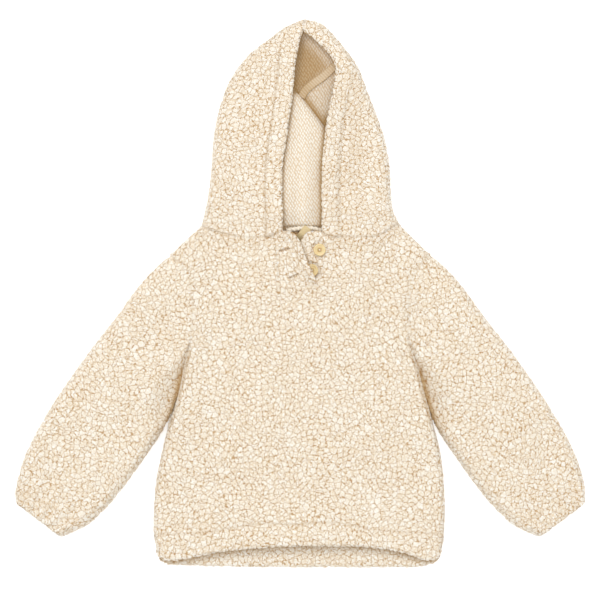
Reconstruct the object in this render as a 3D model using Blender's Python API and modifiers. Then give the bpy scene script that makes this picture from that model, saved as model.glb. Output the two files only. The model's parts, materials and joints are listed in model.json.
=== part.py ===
"""Toddler's hooded sherpa fleece pullover, laid flat on its back.

The garment lies on the plane z = 0 with its front up.  +X is the wearer's
left, +Y runs from the hem to the hood and the origin is on the plane, below
the middle of the garment's bounding box.  Sizes are in millimetres, and are
turned into metres where a mesh is made.

Every cloth piece is a wall between an outer and an inner surface.  Folded
edges (sides, shoulders, sleeves and hood) are rounded, seams are butted with
a small gap, and hems and the hood's facing are two walls thick.
"""

import math

import bmesh
import bpy
import numpy as np

# ----------------------------------------------------------------- sizes, mm
MM = 0.001
WALL = 4.0                  # knit backing and pile together
HEM_WALL = 6.8              # cloth turned back on itself and pressed by its seam
SEAM_GAP = 0.35             # between two pieces that are sewn together
LAY_GAP = 0.35              # between two pieces that lie on each other
HALF_GAP = SEAM_GAP / 2

LAYER_TOP = WALL            # inside face of the layer that lies on the plane
SPLIT = WALL + LAY_GAP      # underside of a front panel at a folded edge
HEM_SPLIT = HEM_WALL + LAY_GAP
EDGE_LIP = 0.9              # height of the small flat left at a folded edge
BACK_LIP = 1.6
BACK_CHAMFER = 3.2          # rounding of the lower edges

HEM_LINE_Y = -236.0         # where the turned hem ends inside the body
HEM_RAMP = 12.0
HEM_LEAD = 1.5              # the front clears the turned back hem this much early
BODY_CROWN = 3.8            # how far the front stands up in its middle
BODY_REST = 11.4            # outer height of the front near its sides
CHEST_CROWN = 4.2
HEM_REST = 14.8             # outer height of the front at the hem's corners
HEM_CROWN = 5.4
BODY_HALF_WIDTH = 143.0
SIDE_ROUND = 7.0            # rounding of the body's folded sides
SEAM_DIP = 1.6              # depth of the valley along a seam
SEAM_DIP_WIDTH = 7.0

# The sleeve's edge is tucked under the front's side below the armpit.
TUCK_TOP_Y = -42.0
TUCK_LOW_Y = -138.0
TUCK_END_Y = -126.0         # where the sleeve comes out from under the body
TUCK_LIFT = 4.7
TUCK_FLAT = 8.0
TUCK_RAMP = 16.0

SLEEVE_CROWN = 17.7
SLEEVE_ROUND = 10.0
SLEEVE_RISE = 60.0          # how far from the armhole it reaches its crown
CASING_ROUND = 8.0
CREASE_DEPTH = 1.2
CASING_CROWN = 20.5         # outer height of the elastic casing
CASING_LENGTH = 15.0
GATHERS = 5                 # gathers across one face of the casing
GATHER_DEPTH = 1.1

HOOD_FACING_WIDTH = 17.0
HOOD_FACING_TOP = 20.5
HOOD_PANEL_TOP = 16.5
HOOD_ROUND = 11.0
NECK_TOP = 13.4             # outer height of the cloth along the neck seam
NECK_FACING_RISE = 4.2

BUTTON_DIAMETER = 12.4
BUTTON_THICKNESS = 2.4
BUTTON_HOLE_DIAMETER = 1.5
BUTTON_HOLE_SPREAD = 1.5
BUTTONHOLE_LENGTH = 10.5
BUTTONHOLE_WIDTH = 1.0

ROLL_DIAMETER = 4.4
LABEL_WIDTH = 8.0
LABEL_THICKNESS = 0.8
TAPE_WIDTH = 9.0
TAPE_THICKNESS = 1.2
SHARP_ANGLE = 50.0          # degrees; edges sharper than this aren't shaded smooth

# ------------------------------------------------------------ outlines, mm
# Side of the body from hem corner to armpit: y, x on the right, x on the left.
BODY_SIDES = (
    (-259.0, -142.4, 141.4),
    (-240.0, -145.5, 144.4),
    (-216.0, -145.6, 145.2),
    (-190.0, -143.6, 144.3),
    (-162.0, -138.2, 141.0),
    (-140.0, -132.8, 136.0),
    (-118.0, -125.8, 129.8),
    (-95.0, -119.5, 123.2),
    (-72.0, -114.8, 117.2),
    (-48.5, -108.5, 107.6),
)
# Sleeves and armholes are the same on both sides of this line.
MIDDLE_X = 0.9
# Armhole seam from armpit to shoulder point, both sides: distance out, y.
ARMHOLE = (
    (107.0, -48.5),
    (108.4, -29.0),
    (108.0, -14.0),
    (110.2, 2.0),
    (114.8, 18.5),
    (129.0, 38.5),
)
# Front edge of the hem, which is arched and lets the back hem show.
FRONT_HEM = (
    (-142.4, -259.0), (-138.4, -265.0), (-127.0, -266.6), (-99.0, -261.4),
    (-69.5, -256.4), (-29.5, -252.9), (13.0, -251.8), (55.5, -252.2),
    (88.5, -255.4), (109.5, -260.6), (127.5, -266.4), (137.2, -265.0),
    (141.4, -259.0),
)
BACK_HEM = (
    (-142.4, -259.0), (-141.0, -265.6), (-135.5, -270.2), (-119.5, -272.0),
    (-95.5, -272.8), (-50.0, -273.9), (13.0, -274.2), (90.0, -274.0),
    (124.5, -272.8), (135.0, -270.0), (139.8, -265.6), (141.4, -259.0),
)
# Neck seam of the front from right to left, and the straighter one behind.
NECK_RIGHT = (
    (-98.0, 66.5), (-85.5, 62.3), (-72.0, 58.8), (-57.0, 55.6),
    (-42.5, 55.2), (-32.5, 57.0), (-24.0, 59.4), (-17.0, 61.2),
)
NECK_LEFT = (
    (22.5, 60.4), (30.0, 57.2), (43.5, 56.2), (60.0, 56.2),
    (72.5, 56.4), (83.0, 59.8), (92.0, 66.2), (99.5, 69.0),
)
BACK_NECK_MIDDLE = ((-50.0, 63.6), (50.0, 64.6))
SHOULDER_MIDDLE = (115.0, 52.6)

# Sleeve, for both sides: outer edge distance out, y and inner edge out, y.
SLEEVE_STATIONS = (
    (129.0, 38.5, 107.0, -48.5),
    (144.0, 26.0, 110.0, -70.0),
    (161.5, 7.0, 118.0, -95.0),
    (182.5, -22.0, 128.4, -119.0),
    (206.5, -52.5, 140.5, -142.0),
    (228.5, -83.0, 154.0, -162.0),
    (248.0, -112.0, 168.5, -182.5),
    (265.5, -142.0, 184.0, -203.0),
    (278.5, -171.0, 200.5, -221.0),
    (284.2, -194.5, 217.5, -234.6),
    (284.9, -208.0, 237.6, -243.4),
)
# Hood halves: opening edge x, y and folded outer edge x, y, neck to crown.
HOOD_RIGHT = (
    (-17.0, 61.2, -98.0, 66.5),
    (-17.0, 84.0, -94.3, 82.0),
    (-17.6, 108.0, -90.0, 106.0),
    (-16.6, 132.0, -87.6, 131.0),
    (-13.0, 156.0, -85.4, 158.0),
    (-9.5, 180.0, -79.6, 186.0),
    (-6.2, 205.0, -68.2, 215.0),
    (-4.4, 229.0, -49.5, 239.5),
    (-1.2, 246.0, -31.0, 253.4),
    (1.6, 257.0, -10.0, 268.0),
    (3.3, 261.5, 4.6, 273.8),
)
HOOD_LEFT = (
    (22.5, 60.4, 99.5, 69.0),
    (22.6, 84.0, 93.4, 84.0),
    (22.5, 106.0, 91.0, 106.0),
    (23.2, 130.0, 89.6, 130.0),
    (25.6, 156.0, 84.2, 157.0),
    (29.2, 182.0, 74.8, 184.0),
    (34.2, 206.0, 65.2, 209.0),
    (35.0, 229.0, 54.0, 233.5),
    (28.0, 240.0, 40.6, 250.5),
    (17.5, 250.8, 26.0, 266.2),
    (9.6, 257.6, 16.6, 271.6),
    (3.7, 261.5, 6.0, 273.8),
)
CENTRE_SEAM = ((0.5, 62.6), (3.5, 267.0))       # the hood's seam, underneath

# The slash at the front of the neck and its two placket pieces.
SLASH_RIGHT_X = -24.0
SLASH_LEFT_X = 30.0
SLASH_END_Y = 2.0
FLAP_EDGE = (
    (17.4, 2.0), (16.8, 10.0), (14.6, 17.0), (11.5, 23.5), (8.5, 30.0),
    (5.5, 38.0), (2.8, 46.0), (0.4, 52.0), (-4.2, 57.6),
)
FLAP_TOP = ((-24.0, 59.4), (-17.0, 61.2), (-10.0, 60.6), (-4.2, 57.6))
UNDER_EDGE = ((-3.0, 2.0), (-3.4, 22.0), (-2.0, 40.0), (1.2, 51.0), (4.6, 57.4))
UNDER_TOP = ((4.6, 57.4), (9.0, 60.8), (15.0, 61.2), (22.5, 60.4), (30.0, 57.2))
FLAP_LIFT = 2.6
FLAP_LIFT_END = 0.0
UNDER_WALL = 3.4
UNDER_CLEAR = 0.55
BUTTON_DIMPLE = 1.6
BUTTON_BUMP = 3.0
BUTTON_BUMP_WIDTH = 11.0
# Buttons and buttonholes: name, x, y, tilt of the buttonhole in degrees.
BUTTONS = (
    ("button_upper", 20.0, 43.0),
    ("button_lower", 12.4, 22.6),
)
BUTTONHOLES = (
    (-15.3, 43.2, 14.0),
    (-5.7, 17.0, 25.0),
)

# Soft troughs of the cloth: start x, y, end x, y, half width, depth.
FRONT_FOLDS = (
    (-42.0, -58.0, -92.0, -186.0, 15.0, 1.9),
    (-10.0, -72.0, -56.0, -196.0, 12.0, 1.4),
    (26.0, -84.0, 74.0, -222.0, 16.0, 2.0),
    (-70.0, 20.0, -96.0, -6.0, 14.0, 1.1),
    (64.0, 22.0, 92.0, 2.0, 14.0, 1.2),
)
SLEEVE_FOLDS = (
    (243.0, -138.0, 246.0, -184.0, 11.0, 2.4),
    (120.0, -20.0, 168.0, -60.0, 12.0, 1.2),
    (172.0, -128.0, 224.0, -176.0, 12.0, 1.3),
)
HOOD_FOLDS = (
    (45.0, 214.0, 40.0, 74.0, 9.0, 2.8),
    (-52.0, 140.0, -24.0, 122.0, 10.0, 1.5),
    (-66.0, 88.0, -30.0, 92.0, 9.0, 1.0),
)

# The hood's back, folded forward inside: its outline and its rise.
FOLD_BOTTOM = ((-38.0, 70.0), (0.0, 69.6), (42.0, 70.0))
FOLD_LEFT_SIDE = ((42.0, 70.0), (46.0, 108.0), (41.0, 148.0))
FOLD_RIGHT_SIDE = ((-38.0, 70.0), (-44.0, 120.0), (-42.0, 176.0), (-30.0, 206.0))
FOLD_TOP = (
    (-30.0, 206.0), (-16.0, 208.5), (-6.5, 203.5), (4.0, 193.5),
    (15.0, 179.5), (25.5, 166.0), (41.0, 148.0),
)
FOLD_REST = 11.6
FOLD_BULGE = 3.6
FOLD_BULGE_WIDTH = 9.0
FOLD_BULGE_X = 2.6
FOLD_CLEAR = 1.4
FOLD_ROUND = 9.0

NECK_ROLL = ((-13.0, 62.4), (-3.0, 64.4), (8.0, 65.0), (18.0, 63.6), (22.0, 62.0))
LABEL_START = (9.6, 66.8)
LABEL_END = (-4.4, 49.4)
TAPE_START = (37.0, 230.0)
TAPE_END = (8.0, 206.0)

# Colour, roughness and metallic value of each material.
MATERIALS = {
    "fleece": ((0.86, 0.76, 0.60), 0.95, 0.0),
    "knit": ((0.78, 0.66, 0.50), 0.92, 0.0),
    "ribbon": ((0.62, 0.50, 0.26), 0.60, 0.0),
    "button": ((0.87, 0.70, 0.40), 0.35, 0.0),
}


# ------------------------------------------------------------------- curves
def smooth(t):
    """Ease from 0 to 1."""
    t = np.clip(t, 0.0, 1.0)
    return t * t * (3.0 - 2.0 * t)


def dome(t):
    """Quarter of a circle, rising from 0 at t = 0 to 1 at t = 1."""
    t = np.clip(t, 0.0, 1.0)
    return np.sqrt(1.0 - (1.0 - t) ** 2)


def mix(a, b, t):
    return a + (b - a) * t


def spline(knots, params):
    """Points of a smooth curve through knots, at shares of its length."""
    knots = np.asarray(knots, float)
    steps = np.linalg.norm(np.diff(knots[:, :2], axis=0), axis=1)
    at = np.concatenate(([0.0], np.cumsum(steps)))
    slopes = np.gradient(knots, at, axis=0)
    where = np.clip(np.asarray(params, float), 0.0, 1.0) * at[-1]
    i = np.clip(np.searchsorted(at, where, side="right") - 1, 0, len(at) - 2)
    h = (at[i + 1] - at[i])[:, None]
    t = ((where - at[i])[:, None]) / h
    a, b = knots[i], knots[i + 1]
    left = (2 * t**3 - 3 * t**2 + 1) * a + (t**3 - 2 * t**2 + t) * h * slopes[i]
    right = (-2 * t**3 + 3 * t**2) * b + (t**3 - t**2) * h * slopes[i + 1]
    return left + right


def curve(knots, count=60):
    """Smooth curve through knots, as evenly spaced points."""
    return spline(knots, np.linspace(0.0, 1.0, count))


def chain(*lines):
    """Lines joined end to end, each keeping its own corners."""
    return np.concatenate([np.asarray(lines[0], float)] + [np.asarray(k, float)[1:] for k in lines[1:]])


def shares_of(line):
    """Share of its length that a line has run at each of its points."""
    run = np.concatenate(([0.0], np.cumsum(np.linalg.norm(np.diff(line, axis=0), axis=1))))
    return run / run[-1]


def along(line, params):
    """Points at shares of the length of a line."""
    line = np.asarray(line, float)
    at = shares_of(line)
    return np.stack([np.interp(params, at, line[:, k]) for k in range(line.shape[1])], axis=1)


def distance(points, line):
    """Distance of each point to a polyline, in the plane."""
    points = np.asarray(points, float)
    line = np.asarray(line, float)
    best = np.full(points.shape[:-1], 1e9)
    for a, b in zip(line[:-1], line[1:]):
        ab = b - a
        t = ((points - a) @ ab) / max(float(ab @ ab), 1e-9)
        near = a + np.clip(t, 0.0, 1.0)[..., None] * ab
        best = np.minimum(best, np.linalg.norm(points - near, axis=-1))
    return best


def troughs(points, folds, mirror=1.0):
    """Depth of the soft folds at each point."""
    total = np.zeros(points.shape[:-1])
    for x0, y0, x1, y1, width, depth in folds:
        line = ((mirror * x0, y0), (mirror * x1, y1))
        total += depth * np.exp(-(distance(points, line) / width) ** 2)
    return total


def spaced(count, *near_ends):
    """Shares from 0 to 1, with extra rows near both ends."""
    inner = np.linspace(near_ends[-1], 1.0 - near_ends[-1], count)
    head = [0.0, *near_ends[:-1]]
    tail = [1.0 - t for t in reversed(head)]
    return np.concatenate((head, inner, tail))


def patch(bottom, top, left, right, u, v):
    """Coons patch between four boundary curves, as a grid of rows v by u."""
    low, high = along(bottom, u), along(top, u)
    west, east = along(left, v), along(right, v)
    u = u[None, :, None]
    v = v[:, None, None]
    ruled_v = (1 - v) * low[None] + v * high[None]
    ruled_u = (1 - u) * west[:, None] + u * east[:, None]
    corners = ((1 - u) * (1 - v) * low[0] + u * (1 - v) * low[-1]
               + (1 - u) * v * high[0] + u * v * high[-1])
    return ruled_v + ruled_u - corners


def pull_in(grid, amount):
    """Draw the border of a grid in, to leave a gap at its seams."""
    out = grid.copy()
    for border, inside in ((0, 1), (-1, -2)):
        down = grid[inside] - grid[border]
        out[border] += amount * down / np.linalg.norm(down, axis=1, keepdims=True)
        across = grid[:, inside] - grid[:, border]
        out[:, border] += amount * across / np.linalg.norm(across, axis=1, keepdims=True)
    return out


# ------------------------------------------------------------------- meshes
def add_object(name, mesh, material):
    colour, roughness, metallic = MATERIALS[material]
    surface = bpy.data.materials.new(name + "_" + material)
    surface.use_nodes = True
    shader = surface.node_tree.nodes["Principled BSDF"]
    shader.inputs["Base Color"].default_value = (*colour, 1.0)
    shader.inputs["Roughness"].default_value = roughness
    shader.inputs["Metallic"].default_value = metallic
    mesh.materials.clear()
    mesh.materials.append(surface)
    mesh.shade_smooth()
    mesh.set_sharp_from_angle(angle=math.radians(SHARP_ANGLE))
    obj = bpy.data.objects.new(name, mesh)
    PULLOVER.objects.link(obj)
    return obj


def wall(name, outer, inner, material, closed=False, keep=None):
    """Solid between two grids of points (rows by columns by xyz).

    closed joins the last column to the first; keep marks the cells that
    are there, and the wall is closed all round them.
    """
    rows, columns = outer.shape[:2]
    wrap = columns if closed else columns - 1
    if keep is None:
        keep = np.ones((rows - 1, wrap), bool)
    bm = bmesh.new()
    sheets = []
    for grid in (outer, inner):
        points = grid.reshape(-1, 3) * MM
        sheets.append([bm.verts.new(p) for p in points])

    def corner(sheet, i, j):
        return sheets[sheet][i * columns + j % columns]

    def is_kept(i, j):
        if closed:
            j = j % wrap
        return 0 <= i < rows - 1 and 0 <= j < wrap and keep[i, j]

    for i in range(rows - 1):
        for j in range(wrap):
            if not keep[i, j]:
                continue
            ring = ((i, j), (i, j + 1), (i + 1, j + 1), (i + 1, j))
            bm.faces.new([corner(0, *k) for k in ring])
            bm.faces.new([corner(1, *k) for k in reversed(ring)])
            beyond = ((i - 1, j), (i, j + 1), (i + 1, j), (i, j - 1))
            for k, cell in enumerate(beyond):
                if is_kept(*cell):
                    continue
                a, b = ring[k], ring[(k + 1) % 4]
                bm.faces.new((corner(0, *b), corner(0, *a), corner(1, *a), corner(1, *b)))
    loose = [v for v in bm.verts if not v.link_faces]
    bmesh.ops.delete(bm, geom=loose, context="VERTS")
    bmesh.ops.remove_doubles(bm, verts=bm.verts, dist=0.00001)
    bmesh.ops.triangulate(bm, faces=bm.faces)
    bmesh.ops.recalc_face_normals(bm, faces=bm.faces)
    if bm.calc_volume(signed=True) < 0:
        bmesh.ops.reverse_faces(bm, faces=bm.faces)
    mesh = bpy.data.meshes.new(name)
    bm.to_mesh(mesh)
    bm.free()
    return add_object(name, mesh, material)


def stack(plan, height):
    return np.concatenate((plan, height[..., None]), axis=-1)


# --------------------------------------------------------------- body panels
def side_line(side):
    """Folded side of the body, from hem corner to armpit; side is -1 or 1."""
    column = 1 if side < 0 else 2
    return curve([(row[column], row[0]) for row in BODY_SIDES])


def armhole_line(side):
    """Armhole seam from the armpit to the shoulder point."""
    knots = [(MIDDLE_X + side * out, y) for out, y in ARMHOLE]
    knots[0] = tuple(side_line(side)[-1])
    return curve(knots)


def shoulder_line(side):
    """Folded shoulder, from the armhole to the hood."""
    corner = NECK_RIGHT[0] if side < 0 else NECK_LEFT[-1]
    middle = (MIDDLE_X + side * SHOULDER_MIDDLE[0], SHOULDER_MIDDLE[1])
    return curve([armhole_line(side)[-1], middle, corner], 20)


def tucked_line(side):
    """Inner edge of the sleeve below the armpit, which the back keeps clear of."""
    knots = np.array([(MIDDLE_X + side * row[2], row[3]) for row in SLEEVE_STATIONS[:5]])
    knots[0] = side_line(side)[-1]
    return curve(knots)


def tuck(y):
    """1 where the sleeve's edge is tucked under the front, 0 elsewhere."""
    return smooth((TUCK_TOP_Y + 18.0 - y) / 22.0) * smooth((y - TUCK_LOW_Y) / 26.0)


def hem_share(y):
    """1 in the turned hem, 0 above it."""
    return smooth((HEM_LINE_Y + HEM_RAMP / 2 - y) / HEM_RAMP)


def front_height(plan):
    """Outer height of the front panel away from its edges."""
    x, y = plan[..., 0], plan[..., 1]
    across = np.clip(1.0 - (x / BODY_HALF_WIDTH) ** 2, 0.0, 1.0)
    body = BODY_REST + BODY_CROWN * across
    chest = BODY_REST + 0.4 + CHEST_CROWN * np.clip(1.0 - (x / 112.0) ** 2, 0.0, 1.0)
    hem = HEM_REST + HEM_CROWN * across
    height = mix(body, chest, smooth((y + 60.0) / 90.0))
    height = mix(height, hem, smooth((-186.0 - y) / 62.0))
    height -= 1.1 * np.exp(-((y - HEM_LINE_Y - 2.0) / 5.0) ** 2)
    return height - troughs(plan, FRONT_FOLDS)


def front_neck():
    """Neck seam of the front, from the right shoulder to the left."""
    middle = ((-17.0, 61.2), (2.5, 61.6), (22.5, 60.4))
    return chain(curve(NECK_RIGHT), curve(middle, 12), curve(NECK_LEFT))


def back_neck(side):
    """Neck seam of the back, from the middle to a shoulder."""
    corner = NECK_RIGHT[0] if side < 0 else NECK_LEFT[-1]
    return curve((CENTRE_SEAM[0], BACK_NECK_MIDDLE[0 if side < 0 else 1], corner), 24)


def round_hem(height, thick, from_edge):
    """Heights of the two faces of a wall whose edge is a fold of the cloth."""
    middle = height - thick / 2
    half = thick / 2 * dome((from_edge + 0.4) / (HEM_WALL / 2))
    return middle + half, middle - half


def front_panel():
    """Plan, outer and inner surface of the front, with its slash left out."""
    sides = [side_line(-1), side_line(1)]
    arms = [armhole_line(-1), armhole_line(1)]
    shoulders = [shoulder_line(-1), shoulder_line(1)]
    hem = curve(FRONT_HEM)
    neck = front_neck()
    west, east = chain(sides[0], arms[0]), chain(sides[1], arms[1])
    north = chain(shoulders[0], neck, shoulders[1][::-1])
    slash = np.interp((SLASH_RIGHT_X, SLASH_LEFT_X), north[:, 0], shares_of(north))
    fine = np.linspace(0.0, 1.0, 400)
    climb = patch(hem, north, west, east, np.array([0.0, slash[0], 1.0]), fine)[:, 1, 1]
    slash_row = float(np.interp(SLASH_END_Y, climb, fine))
    edge = np.array([0.0, 0.005, 0.014, 0.028, 0.055])
    u = np.concatenate((edge, np.linspace(0.10, slash[0], 9),
                        np.linspace(slash[0], slash[1], 6)[1:-1],
                        np.linspace(slash[1], 0.90, 9), 1.0 - edge[::-1]))
    v = np.concatenate(([0.0, 0.004, 0.013, 0.03, 0.055, 0.08],
                        np.linspace(0.13, slash_row, 14), np.linspace(slash_row, 0.945, 5)[1:],
                        [0.97, 0.985, 0.995, 1.0]))
    plan = pull_in(patch(hem, north, west, east, u, v), HALF_GAP)

    from_side = np.minimum(distance(plan, sides[0]), distance(plan, sides[1]))
    folded = np.minimum.reduce([from_side, *(distance(plan, line) for line in shoulders)])
    sewn = np.minimum.reduce([distance(plan, line) for line in (*arms, neck)])
    y = plan[..., 1]
    under_sleeve = tuck(y) * (1.0 - smooth((from_side - TUCK_FLAT) / TUCK_RAMP))
    floor = mix(SPLIT, HEM_SPLIT, hem_share(y - HEM_LEAD)) + TUCK_LIFT * under_sleeve
    thick = mix(WALL, HEM_WALL, hem_share(y))
    height = front_height(plan) - SEAM_DIP * (1.0 - smooth(sewn / SEAM_DIP_WIDTH))
    height = np.maximum(height, floor + thick)
    outer = floor + EDGE_LIP + (height - floor - EDGE_LIP) * dome(folded / SIDE_ROUND)
    inner = np.maximum(floor, outer - thick)
    from_hem = distance(plan, hem)
    lip_outer, lip_inner = round_hem(height, thick, from_hem)
    outer = np.minimum(outer, lip_outer)
    inner = np.where(from_hem < HEM_WALL / 2, np.maximum(inner, lip_inner), inner)
    inner = np.minimum(inner, outer - 0.5)

    columns = [int(np.argmin(abs(u - share))) for share in slash]
    row = int(np.argmin(abs(v - slash_row)))
    keep = np.ones((len(v) - 1, len(u) - 1), bool)
    keep[row:, columns[0]:columns[1]] = False
    return plan, outer, inner, keep, (row, *columns)


def back_panel():
    """Plan, inside face and underside of the back, which lies on the plane."""
    sides = []
    for side in (-1, 1):
        line, tucked = side_line(side), tucked_line(side)[::-1]
        line = line[line[:, 1] < TUCK_END_Y - 14.0]
        tucked = tucked[tucked[:, 1] > TUCK_END_Y] - np.array([side * 1.3 * SEAM_GAP, 0.0])
        sides.append(np.concatenate((line, tucked)))
    arms = [armhole_line(-1), armhole_line(1)]
    shoulders = [shoulder_line(-1), shoulder_line(1)]
    hem = curve(BACK_HEM)
    north = chain(shoulders[0], back_neck(-1)[::-1], back_neck(1), shoulders[1][::-1])
    edge = np.array([0.0, 0.004, 0.011, 0.03])
    u = np.concatenate((edge, np.linspace(0.09, 0.91, 11), 1.0 - edge[::-1]))
    v = np.concatenate(([0.0, 0.005, 0.014, 0.035, 0.075, 0.095, 0.12], np.linspace(0.2, 0.6, 5),
                        np.linspace(0.65, 0.95, 9), [0.975, 0.99, 1.0]))
    west, east = chain(sides[0], arms[0]), chain(sides[1], arms[1])
    plan = pull_in(patch(hem, north, west, east, u, v), HALF_GAP)
    folded = np.minimum.reduce([distance(plan, line) for line in (*sides, *shoulders)])
    thick = mix(WALL, HEM_WALL, hem_share(plan[..., 1]))
    top, under = round_hem(thick, thick, distance(plan, hem))
    under = np.maximum(under, BACK_LIP * (1.0 - dome(folded / BACK_CHAMFER)))
    return plan, top, under


def build_body():
    plan, outer, inner, keep, slash = front_panel()
    wall("front_body", stack(plan, outer), stack(plan, inner), "fleece", keep=keep)
    back, top, under = back_panel()
    wall("back_body", stack(back, top), stack(back, under), "fleece")
    return plan, outer, inner, slash


# ------------------------------------------------------------------ sleeves
def sleeve_stations():
    """Shares along the sleeve, close together at its seam and its casing."""
    return np.concatenate(([0.0, 0.012, 0.03], np.linspace(0.08, 0.86, 10),
                           [0.90, 0.925, 0.945, 0.972, 0.988, 0.997, 1.0]))


def casing_share(to_end):
    """1 in the elastic casing, 0 above it."""
    return float(smooth((CASING_LENGTH + 5.0 - to_end) / 6.0))


def tucked_share(station):
    """1 where the sleeve's inner edge lies under the body, 0 below that."""
    return float(1.0 - smooth((station - 0.30) / 0.16))


def sleeve_height(plan, share, width, station, to_end, seam, side):
    """Outer height of a sleeve's upper layer away from its folded edges."""
    casing = casing_share(to_end)
    full = float(mix(SLEEVE_CROWN, CASING_CROWN, casing))
    at_seam = np.maximum(front_height(plan) - SEAM_DIP, BODY_REST - SEAM_DIP)
    top = mix(at_seam, full, smooth(distance(plan, seam) / SLEEVE_RISE))
    from_inner = (1.0 - share) * width
    limit = 2 * WALL + 0.45 + 0.42 * np.maximum(0.0, from_inner - TUCK_FLAT - 3.0)
    top = mix(top, np.minimum(top, limit), tucked_share(station))
    crease = math.exp(-((to_end - CASING_LENGTH) / 3.0) ** 2)
    return top - CREASE_DEPTH * crease - troughs(plan, SLEEVE_FOLDS, side)


def gathers(share, width, station):
    """Ripples of the cloth that the elastic draws in."""
    near = smooth((station - 0.80) / 0.12)
    ends = dome(share * width / 12.0) * dome((1 - share) * width / 12.0)
    return GATHER_DEPTH * near * ends * np.cos(2 * math.pi * GATHERS * (share - 0.06))


def tube_ring(place, shares, width, top_of, edge, rounding, thick, close, inside):
    """One ring of a flattened tube: its upper side, then back underneath."""
    low_shares = np.linspace(1.0, 0.0, len(shares) // 3 + 1)[1:-1]
    low_shares = np.concatenate(([1.0 - 2.2 / width], low_shares, [2.2 / width]))
    inset = (thick + 0.3) / width if inside else 0.0
    top_shares = inset + shares * (1 - 2 * inset)
    low_shares = inset + low_shares * (1 - 2 * inset)
    rise = dome(top_shares * width / rounding[0]) * dome((1 - top_shares) * width / rounding[1])
    top = edge + (top_of(top_shares) - edge) * rise
    low_edge = np.minimum(low_shares, 1.0 - low_shares) * width
    if inside:
        top = np.maximum(top - thick, edge + LAY_GAP / 2)
        top[0] = top[-1] = edge
        top += thick / 2 * close
        low = np.full(len(low_shares), thick) - thick / 2 * close
    else:
        top[0] = top[-1] = edge
        top -= thick / 2 * close
        low = edge * (1.0 - dome(low_edge / edge)) + thick / 2 * close
    plan = place(np.concatenate((top_shares, low_shares)))
    return stack(plan, np.concatenate((top, low)))


def build_sleeve(name, side):
    """Sleeve from its armhole seam to the gathered casing at the wrist."""
    table = np.array(SLEEVE_STATIONS)
    table[:, [0, 2]] = MIDDLE_X + side * table[:, [0, 2]]
    seam = armhole_line(side)[::-1]
    table[0] = (*seam[0], *seam[-1])
    table[0, [0, 2]] += side * SEAM_GAP
    stations = sleeve_stations()
    shares = spaced(15, 0.018, 0.05, 0.09, 0.14)
    length = float(np.linalg.norm(table[-1, :2] - table[0, :2]))
    chord = seam[-1] - seam[0]
    reach = float(np.linalg.norm(chord))
    offset = (seam - seam[0]) @ (np.array([-chord[1], chord[0]]) / reach)
    bow = np.interp(shares, (seam - seam[0]) @ chord / reach**2, offset)
    rings = ([], [])
    for station, row in zip(stations, spline(table, stations)):
        start, end = row[:2], row[2:]
        width = float(np.linalg.norm(end - start))
        normal = np.array([start[1] - end[1], end[0] - start[0]]) / width
        fade = float((1.0 - smooth(station / 0.22)) ** 2)
        to_end = (1.0 - station) * length

        def place(share, start=start, end=end, normal=normal, fade=fade):
            bend = np.interp(share, shares, bow) * fade
            return start + np.outer(share, end - start) + np.outer(bend, normal)

        def top_of(share, place=place, width=width, station=station, to_end=to_end):
            height = sleeve_height(place(share), share, width, station, to_end, seam, side)
            return height + gathers(share, width, station)

        casing = casing_share(to_end)
        thick = float(mix(WALL, HEM_WALL, casing))
        tucked = tucked_share(station)
        rounding = (float(mix(SLEEVE_ROUND, CASING_ROUND, casing)),
                    float(mix(mix(SLEEVE_ROUND, 6.0, tucked), CASING_ROUND, casing)))
        close = float(1.0 - dome((to_end + 0.5) / (HEM_WALL / 2)))
        for inside, kept in enumerate(rings):
            kept.append(tube_ring(place, shares, width, top_of, thick + 0.2,
                                  rounding, thick, close, bool(inside)))
    wall(name, np.array(rings[0]), np.array(rings[1]), "fleece", closed=True)


# --------------------------------------------------------------------- hood
def hood_height(plan, from_opening):
    """Outer height of the hood's upper layer away from its fold."""
    facing = 1.0 - smooth((from_opening - HOOD_FACING_WIDTH + 4.0) / 9.0)
    height = mix(HOOD_PANEL_TOP, HOOD_FACING_TOP, facing)
    height = height - 0.8 * np.exp(-((from_opening - HOOD_FACING_WIDTH) / 3.0) ** 2)
    at_crown = smooth((plan[..., 1] - 225.0) / 45.0)
    height = mix(height, 15.5, at_crown)
    at_neck = smooth((84.0 - plan[..., 1]) / 24.0)
    height = mix(height, np.minimum(height, NECK_TOP + NECK_FACING_RISE * facing), at_neck)
    return height - troughs(plan, HOOD_FOLDS)


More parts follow.
